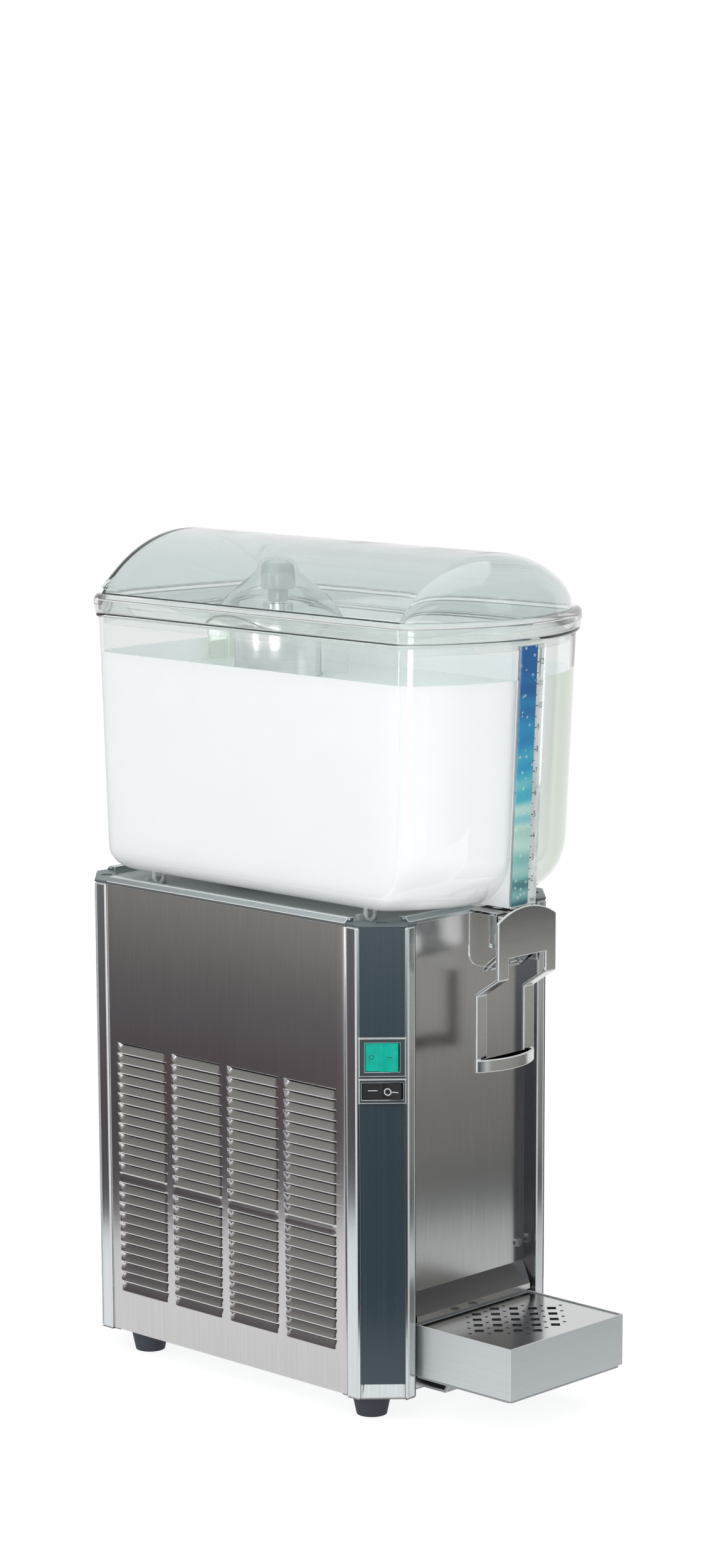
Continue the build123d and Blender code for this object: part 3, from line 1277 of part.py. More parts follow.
# Tap housing: outlet tube with its valve seat, between two clear cheeks that hold the lever pin
outlet_foot = FLOOR_Z - OUTLET_LENGTH
cheek_foot = FLOOR_Z - CHEEK_HEIGHT
cheek_outer = CHEEK_SPAN / 2
with BuildPart() as tap_housing:
    for side in (-1, 1):
        with BuildSketch(Plane.YZ.offset(side * (cheek_outer - CHEEK_THICKNESS / 2))) as cheek:
            with BuildLine():
                Polyline(
                    (FRONT_Y - CHEEK_FRONT, FLOOR_Z),
                    (FRONT_Y - CHEEK_FRONT, cheek_foot),
                    (FRONT_Y - CHEEK_REAR, cheek_foot),
                    (FRONT_Y - CHEEK_REAR, FLOOR_Z),
                    close=True,
                )
            make_face()
            fillet(cheek.vertices().group_by(Axis.Y)[0].sort_by(Axis.X)[-1], CHEEK_ROUND)
            with Locations((PIVOT_Y, PIVOT_Z)):
                Circle(LEVER_EAR_ROUND)
                Circle(PIN_DIAMETER / 2 + PIN_FIT, mode=Mode.SUBTRACT)
        extrude(amount=CHEEK_THICKNESS / 2, both=True)
    with BuildSketch(Plane.XY.offset(FLOOR_Z)):
        with Locations((0, FRONT_Y - (CHEEK_FRONT + CHEEK_REAR) / 2)):
            Rectangle(CHEEK_SPAN, CHEEK_FRONT - CHEEK_REAR)
    extrude(amount=-CHEEK_THICKNESS)
    with BuildSketch(Plane.XY.offset(outlet_foot)):
        with Locations((0, TAP_Y)):
            Circle(OUTLET_DIAMETER / 2)
    extrude(amount=OUTLET_LENGTH)
    with BuildSketch(Plane.XY.offset(outlet_foot)):
        with Locations((0, TAP_Y)):
            Circle(OUTLET_SEAT_BORE / 2)
    extrude(amount=OUTLET_LENGTH, mode=Mode.SUBTRACT)
    with BuildSketch(Plane.XY.offset(outlet_foot + OUTLET_SEAT)):
        with Locations((0, TAP_Y)):
            Circle(OUTLET_BORE / 2)
    extrude(amount=OUTLET_LENGTH - OUTLET_SEAT - OUTLET_STOP, mode=Mode.SUBTRACT)
tap_housing.part.label = "tap_housing"
export_step(tap_housing.part, "parts/tap_housing.step")

with BuildPart() as lever_pin:
    with BuildSketch(Plane.YZ):
        with Locations((PIVOT_Y, PIVOT_Z)):
            Circle(PIN_DIAMETER / 2)
    extrude(amount=cheek_outer, both=True)
lever_pin.part.label = "lever_pin"
export_step(lever_pin.part, "parts/lever_pin.step")

# Plunger: valve plug on a stem, lifted by its foot
plug_foot = outlet_foot + OUTLET_SEAT + RUN
plug_top = plug_foot + PLUG_HEIGHT
foot_top = plug_foot - STEM_LENGTH
plunger_foot = foot_top - PLUNGER_FOOT_HEIGHT
with BuildPart() as plunger:
    with BuildSketch(Plane.XY.offset(plunger_foot)):
        with Locations((0, TAP_Y)):
            Circle(PLUNGER_FOOT / 2)
    extrude(amount=PLUNGER_FOOT_HEIGHT)
    with BuildSketch(Plane.XY.offset(foot_top)):
        with Locations((0, TAP_Y)):
            Circle(STEM_DIAMETER / 2)
    extrude(amount=STEM_LENGTH)
    with BuildSketch(Plane.XY.offset(plug_foot)):
        with Locations((0, TAP_Y)):
            Circle(OUTLET_BORE / 2 - PLUG_GAP)
    extrude(amount=PLUG_HEIGHT)
plunger.part.label = "plunger"
export_step(plunger.part, "parts/plunger.step")

# Return spring between the plug and the stop at the top of the outlet, in turns of tangent arcs
spring_radius = OUTLET_BORE / 2 - PLUG_GAP - SPRING_WIRE
spring_foot = plug_top + SPRING_GAP + SPRING_WIRE / 2
spring_top = FLOOR_Z - OUTLET_STOP - SPRING_GAP - SPRING_WIRE / 2
spring_pitch = (spring_top - spring_foot) / SPRING_TURNS
print("spring: gap between turns", round(spring_pitch - SPRING_WIRE, 2))


def coil_point(turn):
    """Place on the spring's centre line after a number of turns."""
    angle = 2 * pi * turn
    return Vector(
        spring_radius * cos(angle), TAP_Y + spring_radius * sin(angle), spring_foot + spring_pitch * turn
    )


def coil_direction(turn):
    """Direction of the spring's centre line after a number of turns."""
    angle = 2 * pi * turn
    return Vector(-sin(angle), cos(angle), spring_pitch / (2 * pi * spring_radius)).normalized()


with BuildPart() as tap_spring:
    with BuildLine():
        for quarter in range(4 * SPRING_TURNS):
            start = coil_point(quarter / 4)
            end = coil_point((quarter + 1) / 4)
            leave = coil_direction(quarter / 4)
            arrive = coil_direction((quarter + 1) / 4)
            chord = end - start
            spread = 2 * (1 - leave.dot(arrive))
            reach = chord.dot(leave + arrive)
            handle = (sqrt(reach**2 + spread * chord.dot(chord)) - reach) / spread
            joint = (start + leave * handle + end - arrive * handle) * 0.5
            first = TangentArc(start, joint, tangent=leave)
            TangentArc(joint, end, tangent=first % 1)
    with BuildSketch(Plane(origin=coil_point(0), z_dir=coil_direction(0))):
        RegularPolygon(SPRING_WIRE / 2, SPRING_SIDES)
    sweep()
tap_spring.part.label = "tap_spring"
export_step(tap_spring.part, "parts/tap_spring.step")

# Lever: a front plate on the pin, side strips that carry a push loop, and arms under the plunger's foot
face_y = PIVOT_Y - LEVER_FACE
plate_back = face_y + LEVER_THICKNESS
plate_foot = PIVOT_Z - LEVER_PLATE_DROP
shoulder_z = PIVOT_Z + LEVER_PLATE_RISE
loop_foot = PIVOT_Z - LEVER_LOOP_DROP
lever_half = LEVER_WIDTH / 2
knee_y = face_y + LEVER_KNEE_BACK
knee_z = plate_foot - LEVER_KNEE_DROP
crossbar_z = plunger_foot - RUN - LEVER_CROSSBAR / 2
arm_length = hypot(TAP_Y - PIVOT_Y, PIVOT_Z - crossbar_z)
arm_angle = -degrees(asin((PIVOT_Z - crossbar_z) / arm_length))
ear_inner = cheek_outer - CHEEK_THICKNESS - 2 * LEVER_EAR
lever_front = Plane(origin=(0, face_y, 0), x_dir=(1, 0, 0), z_dir=(0, -1, 0))
with BuildPart() as lever:
    with BuildSketch(lever_front):
        with BuildLine():
            Polyline(
                (-lever_half, shoulder_z),
                (-lever_half, plate_foot),
                (lever_half, plate_foot),
                (lever_half, shoulder_z),
            )
            ThreePointArc(
                (lever_half, shoulder_z), (0, shoulder_z + LEVER_DOME), (-lever_half, shoulder_z)
            )
        make_face()
        with Locations((0, plate_foot + LEVER_NOTCH_HEIGHT / 2)):
            Rectangle(LEVER_NOTCH_WIDTH, LEVER_NOTCH_HEIGHT, mode=Mode.SUBTRACT)
    extrude(amount=-LEVER_THICKNESS)
    for side in (-1, 1):
        with BuildSketch(Plane.YZ.offset(side * (lever_half - LEVER_STRIP / 2))):
            with BuildLine():
                Polyline((face_y, plate_foot), (knee_y, knee_z), (knee_y, loop_foot))
                offset(amount=LEVER_THICKNESS, side=Side.LEFT, kind=Kind.INTERSECTION)
            make_face()
        extrude(amount=LEVER_STRIP / 2, both=True)
        with BuildSketch(Plane.YZ.offset(side * (ear_inner + LEVER_EAR / 2))):
            with Locations((PIVOT_Y, PIVOT_Z)):
                Circle(LEVER_EAR_ROUND)
            with Locations(((plate_back + PIVOT_Y) / 2, PIVOT_Z)):
                Rectangle(PIVOT_Y - plate_back, 2 * LEVER_PLATE_DROP - 2 * LEVER_NOTCH_HEIGHT)
            with Locations(((PIVOT_Y + TAP_Y) / 2, (PIVOT_Z + crossbar_z) / 2)):
                SlotCenterToCenter(arm_length, LEVER_CROSSBAR, rotation=arm_angle)
            with Locations((PIVOT_Y, PIVOT_Z)):
                Circle(PIN_DIAMETER / 2 + SHAFT_FIT, mode=Mode.SUBTRACT)
        extrude(amount=LEVER_EAR / 2, both=True)
    with BuildSketch(Plane.YZ):
        with Locations((TAP_Y, crossbar_z)):
            Circle(LEVER_CROSSBAR / 2)
    extrude(amount=ear_inner + LEVER_EAR, both=True)
    with BuildSketch(Plane.XY.offset(loop_foot)):
        with BuildLine():
            ThreePointArc(
                (-lever_half, knee_y), (0, knee_y - LEVER_BAR_BULGE), (lever_half, knee_y)
            )
            Line((lever_half, knee_y), (lever_half, knee_y + LEVER_THICKNESS))
            ThreePointArc(
                (lever_half, knee_y + LEVER_THICKNESS),
                (0, knee_y - LEVER_BAR_BULGE + LEVER_THICKNESS),
                (-lever_half, knee_y + LEVER_THICKNESS),
            )
            Line((-lever_half, knee_y + LEVER_THICKNESS), (-lever_half, knee_y))
        make_face()
    extrude(amount=LEVER_BAR_HEIGHT)
lever.part.label = "lever"
export_step(lever.part, "parts/lever.step")

# Drip tray: steel shell with a ledge, plastic pan hung under the ledge, and a perforated grille on it
tray_front = FRONT_Y - TRAY_REACH
tray_rear = FRONT_Y + TRAY_TUCK
tray_length = tray_rear - tray_front
tray_middle = (tray_front + tray_rear) / 2
tray_top = BASE_Z + TRAY_TOP
tray_foot = tray_top - TRAY_HEIGHT
ledge_top = tray_top - TRAY_LEDGE_DROP
ledge_foot = ledge_top - SHEET
with BuildPart() as tray_shell:
    with BuildSketch(Plane.XY.offset(tray_foot)):
        with Locations((0, tray_middle)):
            Rectangle(TRAY_WIDTH, tray_length)
            Rectangle(TRAY_WIDTH - 2 * SHEET, tray_length - 2 * SHEET, mode=Mode.SUBTRACT)
    extrude(amount=TRAY_HEIGHT)
    with BuildSketch(Plane.XY.offset(ledge_foot)):
        with Locations((0, tray_middle)):
            Rectangle(TRAY_WIDTH - SHEET, tray_length - SHEET)
            Rectangle(
                TRAY_WIDTH - 2 * SHEET - 2 * TRAY_LEDGE,
                tray_length - 2 * SHEET - 2 * TRAY_LEDGE,
                mode=Mode.SUBTRACT,
            )
    extrude(amount=SHEET)
tray_shell.part.label = "tray_shell"
export_step(tray_shell.part, "parts/tray_shell.step")

pan_width = TRAY_WIDTH - 2 * SHEET - 2 * FIT
pan_length = tray_length - 2 * SHEET - 2 * FIT
pan_foot = tray_foot - PAN_SHOW
pan_rim = ledge_foot - FIT
with BuildPart() as tray_pan:
    with BuildSketch(Plane.XY.offset(pan_foot)):
        with Locations((0, tray_middle)):
            RectangleRounded(pan_width, pan_length, 2 * PAN_WALL)
    extrude(amount=pan_rim - pan_foot)
    with BuildSketch(Plane.XY.offset(pan_foot + PAN_WALL)):
        with Locations((0, tray_middle)):
            RectangleRounded(pan_width - 2 * PAN_WALL, pan_length - 2 * PAN_WALL, PAN_WALL)
    extrude(amount=pan_rim - pan_foot, mode=Mode.SUBTRACT)
tray_pan.part.label = "tray_pan"
export_step(tray_pan.part, "parts/tray_pan.step")

grille_foot = ledge_top + RUN
grille_rear = FRONT_Y + SPLASH_INSET - 2 * RUN
grille_front = tray_front + SHEET + RUN
grille_middle = (grille_front + grille_rear) / 2
grille_step = GRILLE_PITCH / 2 / sqrt(2)
with BuildPart() as tray_grille:
    with BuildSketch(Plane.XY.offset(grille_foot)):
        with Locations((0, grille_middle)):
            Rectangle(TRAY_WIDTH - 2 * SHEET - 2 * RUN, grille_rear - grille_front)
        for row in range(-GRILLE_REACH, GRILLE_REACH + 1):
            for column in range(-GRILLE_REACH, GRILLE_REACH + 1):
                if (row + column) % 2 == 1 or abs(row + column) >= GRILLE_CUT:
                    continue
                hole_x = (row - column) * grille_step
                hole_y = FRONT_Y - GRILLE_CENTRE + (row + column) * grille_step
                with Locations((hole_x, hole_y)):
                    if row % 2 == 0:
                        Rectangle(GRILLE_SQUARE, GRILLE_SQUARE, rotation=45, mode=Mode.SUBTRACT)
                    else:
                        Circle(GRILLE_HOLE / 2, mode=Mode.SUBTRACT)
    extrude(amount=GRILLE_SHEET)
tray_grille.part.label = "tray_grille"
export_step(tray_grille.part, "parts/tray_grille.step")

# Bracket under the base pan that carries the drip tray
bracket_top = pan_foot - RUN
with BuildPart() as tray_bracket:
    with BuildSketch(Plane.YZ):
        with BuildLine():
            Polyline(
                (FRONT_Y + BRACKET_ROOT, BASE_Z),
                (FRONT_Y - BRACKET_STEP, BASE_Z),
                (FRONT_Y - BRACKET_STEP - (bracket_top - BASE_Z) / 2, bracket_top),
                (FRONT_Y - BRACKET_REACH, bracket_top),
            )
            offset(amount=BRACKET_SHEET, side=Side.LEFT, kind=Kind.INTERSECTION)
        make_face()
    extrude(amount=BRACKET_WIDTH / 2, both=True)
tray_bracket.part.label = "tray_bracket"
export_step(tray_bracket.part, "parts/tray_bracket.step")
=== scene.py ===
import json
from math import cos, pi, radians, sin

import bmesh
import bpy
import numpy as np
from mathutils import Matrix, Vector


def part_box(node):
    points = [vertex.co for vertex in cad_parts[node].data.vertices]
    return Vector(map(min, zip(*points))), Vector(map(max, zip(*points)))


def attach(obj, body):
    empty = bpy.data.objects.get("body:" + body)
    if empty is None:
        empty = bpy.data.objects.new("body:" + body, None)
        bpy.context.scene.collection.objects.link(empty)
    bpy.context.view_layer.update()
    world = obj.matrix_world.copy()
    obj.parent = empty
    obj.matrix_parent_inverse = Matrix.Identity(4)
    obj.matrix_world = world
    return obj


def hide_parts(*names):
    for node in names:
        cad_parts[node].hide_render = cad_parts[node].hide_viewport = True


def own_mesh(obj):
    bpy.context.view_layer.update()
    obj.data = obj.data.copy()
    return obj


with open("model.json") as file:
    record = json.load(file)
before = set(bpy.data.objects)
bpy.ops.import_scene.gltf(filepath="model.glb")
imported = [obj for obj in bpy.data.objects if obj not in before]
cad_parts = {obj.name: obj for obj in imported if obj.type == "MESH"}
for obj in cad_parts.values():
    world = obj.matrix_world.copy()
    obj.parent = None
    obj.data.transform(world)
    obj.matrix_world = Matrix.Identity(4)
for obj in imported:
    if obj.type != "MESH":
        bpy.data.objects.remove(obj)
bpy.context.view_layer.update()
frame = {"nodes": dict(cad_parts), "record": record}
nodes = frame["nodes"]
scene = bpy.context.scene


# Feet. Four moulded rubber cones, each held up to the base pan by a screw in its recess.
# The rubber is filled with carbon black: matt and nearly even, a little paler where dust has worked in.

def srgb(code):
    """Linear colour of an sRGB hex code, with full opacity: a power of 2.4 above the straight toe."""
    channel = np.array([int(code[at : at + 2], 16) for at in (1, 3, 5)]) / 255
    linear = np.where(channel <= 0.04045, channel / 12.92, ((channel + 0.055) / 1.055) ** 2.4)
    return (*linear.tolist(), 1.0)


def add(tree, kind, sockets={}, **settings):
    """One shader node with its settings; a socket is linked where its value is another node's output."""
    node = tree.nodes.new("ShaderNode" + kind)
    for name, value in settings.items():
        setattr(node, name, value)
    for name, value in sockets.items():
        if isinstance(value, bpy.types.NodeSocket):
            tree.links.new(value, node.inputs[name])
        else:
            node.inputs[name].default_value = value
    return node


def new_finish(name):
    """Empty node material, its tree, and the Object coordinates that its patterns lie on."""
    finish = bpy.data.materials.new(name)
    finish.use_nodes = True
    finish.node_tree.nodes.clear()
    return finish, finish.node_tree, add(finish.node_tree, "TexCoord").outputs["Object"]


def mottled(name, size, detail, tones, surface, gloss=None, relief=None):
    """Material whose tone runs between two colours with a noise, its size in mm for all ways or for each.

    With a gloss its roughness runs between two values with the same noise. A relief raises the surface by a
    second noise: it gives that noise's size in mm and detail, then the strength and the depth in mm.
    """
    finish, tree, place = new_finish(name)
    spread = add(tree, "Mapping", {"Vector": place, "Scale": (1000 / np.broadcast_to(size, 3)).tolist()})
    patches = add(tree, "TexNoise", {"Vector": spread.outputs["Vector"], "Scale": 1.0, "Detail": detail})
    tone = add(tree, "Mix", {
        0: patches.outputs["Fac"], 6: srgb(tones[0]), 7: srgb(tones[1]),
    }, data_type="RGBA")
    sockets = {"Base Color": tone.outputs[2], **surface}
    if gloss:
        shine = add(tree, "MapRange", {
            "Value": patches.outputs["Fac"], "To Min": gloss[0], "To Max": gloss[1],
        })
        sockets["Roughness"] = shine.outputs["Result"]
    if relief:
        size, detail, strength, depth = relief
        grain = add(tree, "TexNoise", {"Vector": place, "Scale": 1000 / size, "Detail": detail})
        bump = add(tree, "Bump", {
            "Height": grain.outputs["Fac"], "Strength": strength, "Distance": depth / 1000,
        })
        sockets["Normal"] = bump.outputs["Normal"]
    face = add(tree, "BsdfPrincipled", sockets)
    add(tree, "OutputMaterial", {"Surface": face.outputs["BSDF"]})
    return finish


def dress(finish, *names):
    """Give CAD nodes a finish in each of their material slots."""
    for name in names:
        for slot in nodes[name].material_slots:
            slot.material = finish


# Moulded EPDM: carbon black leaves it dark and dull, with a soft grey bloom in patches of about 20 mm
rubber = mottled(
    "moulded_epdm_rubber", 20, 4.0, ("#3b424c", "#545b66"), {"Roughness": 0.72, "IOR": 1.52},
    relief=(1.2, 2.0, 0.3, 0.3),
)
dress(rubber, "foot_front_left", "foot_front_right", "foot_rear_left", "foot_rear_right")
dress(rubber, "bowl_gasket", "compressor_mounts")

# Zinc plated screw: pale metal, its turned faces a little uneven in shine over about 1 mm
plated, tree, place = new_finish("zinc_plated_screw")
turning = add(tree, "TexNoise", {"Vector": place, "Scale": 1 / 0.001, "Detail": 2.0})
gloss = add(tree, "MapRange", {"Value": turning.outputs["Fac"], "To Min": 0.24, "To Max": 0.42})
surface = add(tree, "BsdfPrincipled", {
    "Base Color": srgb("#c2c4c4"), "Metallic": 1.0, "Roughness": gloss.outputs["Result"],
})
add(tree, "OutputMaterial", {"Surface": surface.outputs["BSDF"]})
dress(plated, "foot_screws", "front_panel_screws")


# Base pan. One tray of folded sheet that carries everything, with an upturned edge inside the posts.
# The sheet is zinc coated, and the coating shows soft grey crystals.

# Galvanised sheet: spangles of about 9 mm that differ a little in shine and tone
galvanised, tree, place = new_finish("galvanised_sheet")
spangle = add(tree, "TexVoronoi", {"Vector": place, "Scale": 1 / 0.009})
grey = add(tree, "RGBToBW", {"Color": spangle.outputs["Color"]})
tone = add(tree, "Mix", {0: grey.outputs["Val"], 6: srgb("#8e9498"), 7: srgb("#b4babd")}, data_type="RGBA")
gloss = add(tree, "MapRange", {"Value": grey.outputs["Val"], "To Min": 0.36, "To Max": 0.52})
surface = add(tree, "BsdfPrincipled", {
    "Base Color": tone.outputs[2], "Metallic": 1.0, "Roughness": gloss.outputs["Result"],
})
add(tree, "OutputMaterial", {"Surface": surface.outputs["BSDF"]})
dress(galvanised, "base_pan", "tray_bracket", "fan_bracket")


# Corner posts. Aluminium extrusions with a flat corner face, cut to length and anodised.
# The die leaves faint lines along them, and their edges are slightly rounded.

body_of = {name: body for body, names in frame["record"]["behaviour"]["bodies"].items() for name in names}


def eased(node, finish, ease, crease=35, painted_highlight_finish=None, full=False):
    """Copy of a CAD node with its sharp edges rounded by a small ease in metres, in place of the node.

    Its triangles are merged and its flat faces joined first, so that only real edges are rounded. The rounded
    edges take a painted highlight finish of their own if one is given, and keep their full ease beside short
    edges if asked to.
    """
    mesh = nodes[node].data.copy()
    work = bmesh.new()
    work.from_mesh(mesh)
    bmesh.ops.remove_doubles(work, verts=work.verts, dist=2e-6)
    bmesh.ops.dissolve_limit(work, angle_limit=radians(1), verts=work.verts, edges=work.edges)
    work.to_mesh(mesh)
    work.free()
    if "custom_normal" in mesh.attributes:
        mesh.attributes.remove(mesh.attributes["custom_normal"])
    mesh.shade_smooth()
    mesh.set_sharp_from_angle(angle=radians(crease))
    mesh.materials.clear()
    mesh.materials.append(finish)
    if painted_highlight_finish:
        mesh.materials.append(painted_highlight_finish)
    piece = bpy.data.objects.new(node + "_eased", mesh)
    scene.collection.objects.link(piece)
    rounding = piece.modifiers.new("eased_edges", "BEVEL")
    rounding.width = ease
    rounding.segments = 2
    rounding.limit_method = "ANGLE"
    rounding.angle_limit = radians(crease)
    rounding.harden_normals = True
    rounding.use_clamp_overlap = not full
    rounding.material = 1 if painted_highlight_finish else -1
    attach(piece, body_of[node])
    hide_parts(node)
    return piece


# Painted edge highlight: a pale, partly metallic finish on rounded edges that spreads light widely and looks
# bright, uneven over about 2 mm
painted_edge_highlight = mottled(
    "painted_edge_highlight_metal", 2, 2.0, ("#e2e6e7", "#f4f6f6"), {"Metallic": 0.3, "Roughness": 0.5},
)

# Anodised aluminium: pale satin metal with die lines along the post, drawn 1.5 mm apart so that they show
anodised = mottled(
    "anodised_aluminium_upright", (1.5, 1.5, 300), 3.0, ("#b9c0c3", "#d6dcde"), {"Metallic": 1.0},
    gloss=(0.13, 0.21),
)
corner_names = ("front_left", "front_right", "rear_left", "rear_right")
# The posts' rounded edges carry a painted highlight.
for corner in corner_names:
    eased("post_" + corner, anodised, ease=0.0018, painted_highlight_finish=painted_edge_highlight, full=True)


# Corner inserts. Flat strips of extruded plastic that slide down the front posts' corner faces.
# The left one is cut out for the two switches.

# Extruded PVC: slate grey with a soft shine, fine lines from the die drawn 2 mm apart
slate = mottled(
    "extruded_slate_pvc", (2, 2, 400), 3.0, ("#32454f", "#364953"), {"IOR": 1.53}, gloss=(0.22, 0.32),
)
eased("insert_left", slate, ease=0.0005)
eased("insert_right", slate, ease=0.0005)


# Post caps. Moulded plastic plugs pushed into the tops of the posts, with a thin lip over the corner.
# The lip lies about 2 mm above the post, below the rails' upper edge.

# Moulded ABS: grey, satin, with a fine spark-eroded grain of about 0.8 mm
abs_grey = mottled(
    "moulded_grey_abs", 15, 2.0, ("#525e61", "#66737a"), {"Roughness": 0.42, "IOR": 1.54},
    relief=(0.8, 2.0, 0.2, 0.2),
)
post_top, cap_share = 0.392, 0.36
for corner in corner_names:
    cap = eased("cap_" + corner, abs_grey, ease=0.0006)
    spots = np.empty(3 * len(cap.data.vertices))
    cap.data.vertices.foreach_get("co", spots)
    above = np.maximum(spots[2::3] - post_top, 0)
    spots[2::3] -= above * (1 - cap_share)
    cap.data.vertices.foreach_set("co", spots)


# Side panels. Brushed stainless sheet, 1 mm thick, with four columns of louvres below the plain top.
# Each blade is slit along its upper edge and pushed in there; its lower edge rolls out as a lip, and its
# ends are drawn into the sheet.

# Brushed stainless: the belt leaves an upright grain, drawn 0.9 mm wide so that it shows, in lines of 60 mm
brushed, tree, place = new_finish("brushed_stainless_upright_grain")
along = add(tree, "Mapping", {"Vector": place, "Scale": (1 / 0.0009, 1 / 0.0009, 1 / 0.06)})
grain = add(tree, "TexNoise", {
    "Vector": along.outputs["Vector"], "Scale": 1.0, "Detail": 4.0, "Roughness": 0.6,
})
cloud = add(tree, "TexNoise", {"Vector": place, "Scale": 1 / 0.07, "Detail": 2.0})
tone = add(tree, "Mix", {0: grain.outputs["Fac"], 6: srgb("#b3b1b2"), 7: srgb("#c8c7c8")}, data_type="RGBA")
gloss = add(tree, "MapRange", {"Value": cloud.outputs["Fac"], "To Min": 0.18, "To Max": 0.23})
relief = add(tree, "Bump", {"Height": grain.outputs["Fac"], "Strength": 0.06, "Distance": 0.0002})
surface = add(tree, "BsdfPrincipled", {
    "Base Color": tone.outputs[2], "Metallic": 1.0, "Roughness": gloss.outputs["Result"],
    "Normal": relief.outputs["Normal"],
})
add(tree, "OutputMaterial", {"Surface": surface.outputs["BSDF"]})


def grid_quads(rows, columns, ring_rows=False, ring_columns=False):
    """Corner numbers of each quad of a grid of points; a ring joins its last row or column to its first."""
    row = np.arange(rows if ring_rows else rows - 1)[:, None]
    column = np.arange(columns if ring_columns else columns - 1)[None, :]
    below, beside = (row + 1) % rows, (column + 1) % columns
    corners = np.broadcast_arrays(
        row * columns + column, below * columns + column, below * columns + beside, row * columns + beside
    )
    return np.stack(corners, -1).reshape(-1, 4)


def make_piece(name, points, quads, finish, body, stands_for=(), slot=None, closed=True, crease=40):
    """Mesh from points in mm and quads, its doubles merged and, if it is closed, its faces turned outwards.

    It rides with a body, and takes the place of the CAD nodes that it stands for; its slot is not used.
    """
    mesh = bpy.data.meshes.new(name)
    mesh.from_pydata((np.reshape(points, (-1, 3)) / 1000).tolist(), [], np.asarray(quads).tolist())
    work = bmesh.new()
    work.from_mesh(mesh)
    bmesh.ops.remove_doubles(work, verts=work.verts, dist=1e-6)
    if closed:
        bmesh.ops.recalc_face_normals(work, faces=work.faces)
    work.to_mesh(mesh)
    work.free()
    mesh.shade_smooth()
    mesh.set_sharp_from_angle(angle=radians(crease))
    mesh.materials.append(finish)
    piece = bpy.data.objects.new(name, mesh)
    scene.collection.objects.link(piece)
    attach(piece, body)
    if stands_for:
        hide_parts(*stands_for)
    return piece


def eased_step(share):
    """Smooth step from 0 to 1 over a share of 0 to 1, level at both ends."""
    share = np.clip(share, 0, 1)
    return share * share * (3 - 2 * share)


sheet, panel_face, panel_roll = 1.0, 105.0, 3.0
louvre_columns, louvre_groups = 4, (13, 11)
louvre_width, louvre_bridge, louvre_pitch = 57.0, 6.3, 8.33
louvre_slot, louvre_depth, louvre_lip, louvre_draw = 1.9, 3.0, 0.95, 3.8
louvre_head, louvre_margin = 262.45, 0.9
strip_depth, strip_step = 0.02, 0.04
lip_crest, lip_roll = 0.89, 0.7
blade_curl, lip_curl = 1.2, 5
blade_rows, blade_columns, roll_columns = 6, 27, 7
deburr_width, deburr_angle = 0.00025, radians(55)


def louvred_sheet(side):
    """Grid of the panel's outer skin, y across and z down, with its rows cut apart at each slit.

    A blade's rows run over its pitch in z from its upper edge, share 0, to its lip, share 1. They are
    pushed in by depth times (1 - share) to the power of the blade's curl, and out by lip times the share of
    the crest to the power of the lip's curl; past the crest the edge rolls under. The strip between the
    groups is a much shallower blade with no slit above it, and the last blade of all has no lip and runs
    flush into the panel's foot. All of it fades to nothing at the blade's ends by a smooth step over the
    draw, and the panel's upright edges roll in by a quarter round.
    """
    low, high = (np.array(corner) * 1000 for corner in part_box("side_panel_" + side))
    step = louvre_width + louvre_bridge
    centres = (low[1] + high[1]) / 2 + (np.arange(louvre_columns) - (louvre_columns - 1) / 2) * step
    spread = np.sin(np.linspace(-pi / 2, pi / 2, blade_columns))
    beyond = 1 + 2 * louvre_margin / louvre_width
    spread = np.concatenate([[-beyond], spread, [beyond]])
    fade = np.tile(eased_step(louvre_width / 2 * (1 - np.abs(spread)) / louvre_draw), louvre_columns)
    bend = np.linspace(pi / 2, 0, roll_columns)
    across = np.concatenate([
        low[1] + panel_roll * (1 - np.sin(bend)), (centres[:, None] + louvre_width / 2 * spread).ravel(),
        high[1] - panel_roll * (1 - np.sin(bend[::-1])),
    ])
    turned = panel_roll * (1 - np.cos(bend))
    rolled = np.concatenate([turned, 0 * fade, turned[::-1]])
    fade = np.concatenate([0 * bend, fade, 0 * bend])
    share = np.concatenate([np.linspace(0, lip_crest, blade_rows), [(1 + lip_crest) / 2, 1.0]])
    under = np.clip((share - lip_crest) / (1 - lip_crest), 0, 1)
    crest = np.minimum(share / lip_crest, 1) ** lip_curl - lip_roll * under
    level = [high[2], louvre_head + louvre_margin, louvre_head]
    push, drop, joined = [0.0, 0.0, 0.0], [0.0, 0.0, 0.0], [True, True, False]
    head = louvre_head
    for count, has_strip in zip(louvre_groups, (True, False)):
        for blade in range(count + has_strip):
            last, strip = blade == count - 1, blade == count
            depth, slot = (strip_depth, 0.0) if strip else (louvre_depth, louvre_slot)
            lip = 0.0 if last and not has_strip else louvre_lip
            push += (lip * crest - depth * (1 - share) ** blade_curl).tolist()
            level += (head - louvre_pitch * (np.maximum(share, strip_step) if strip else share)).tolist()
            drop += (slot * (1 - share)).tolist()
            joined += [True] * (len(share) - 1) + [last]
            head -= louvre_pitch
    level += [head - louvre_margin, low[2]]
    push, drop, joined = push + [0.0, 0.0], drop + [0.0, 0.0], joined + [True, False]
    out = -1 if side == "left" else 1
    level, push, drop = (np.array(values)[:, None] for values in (level, push, drop))
    points = np.stack(np.broadcast_arrays(
        out * (panel_face + push * fade - rolled), across, level - drop * fade
    ), -1)
    quads = grid_quads(len(level), len(across))
    quads = quads.reshape(len(level) - 1, -1, 4)[np.array(joined[:-1])].reshape(-1, 4)
    return points, quads if side == "left" else quads[:, ::-1]


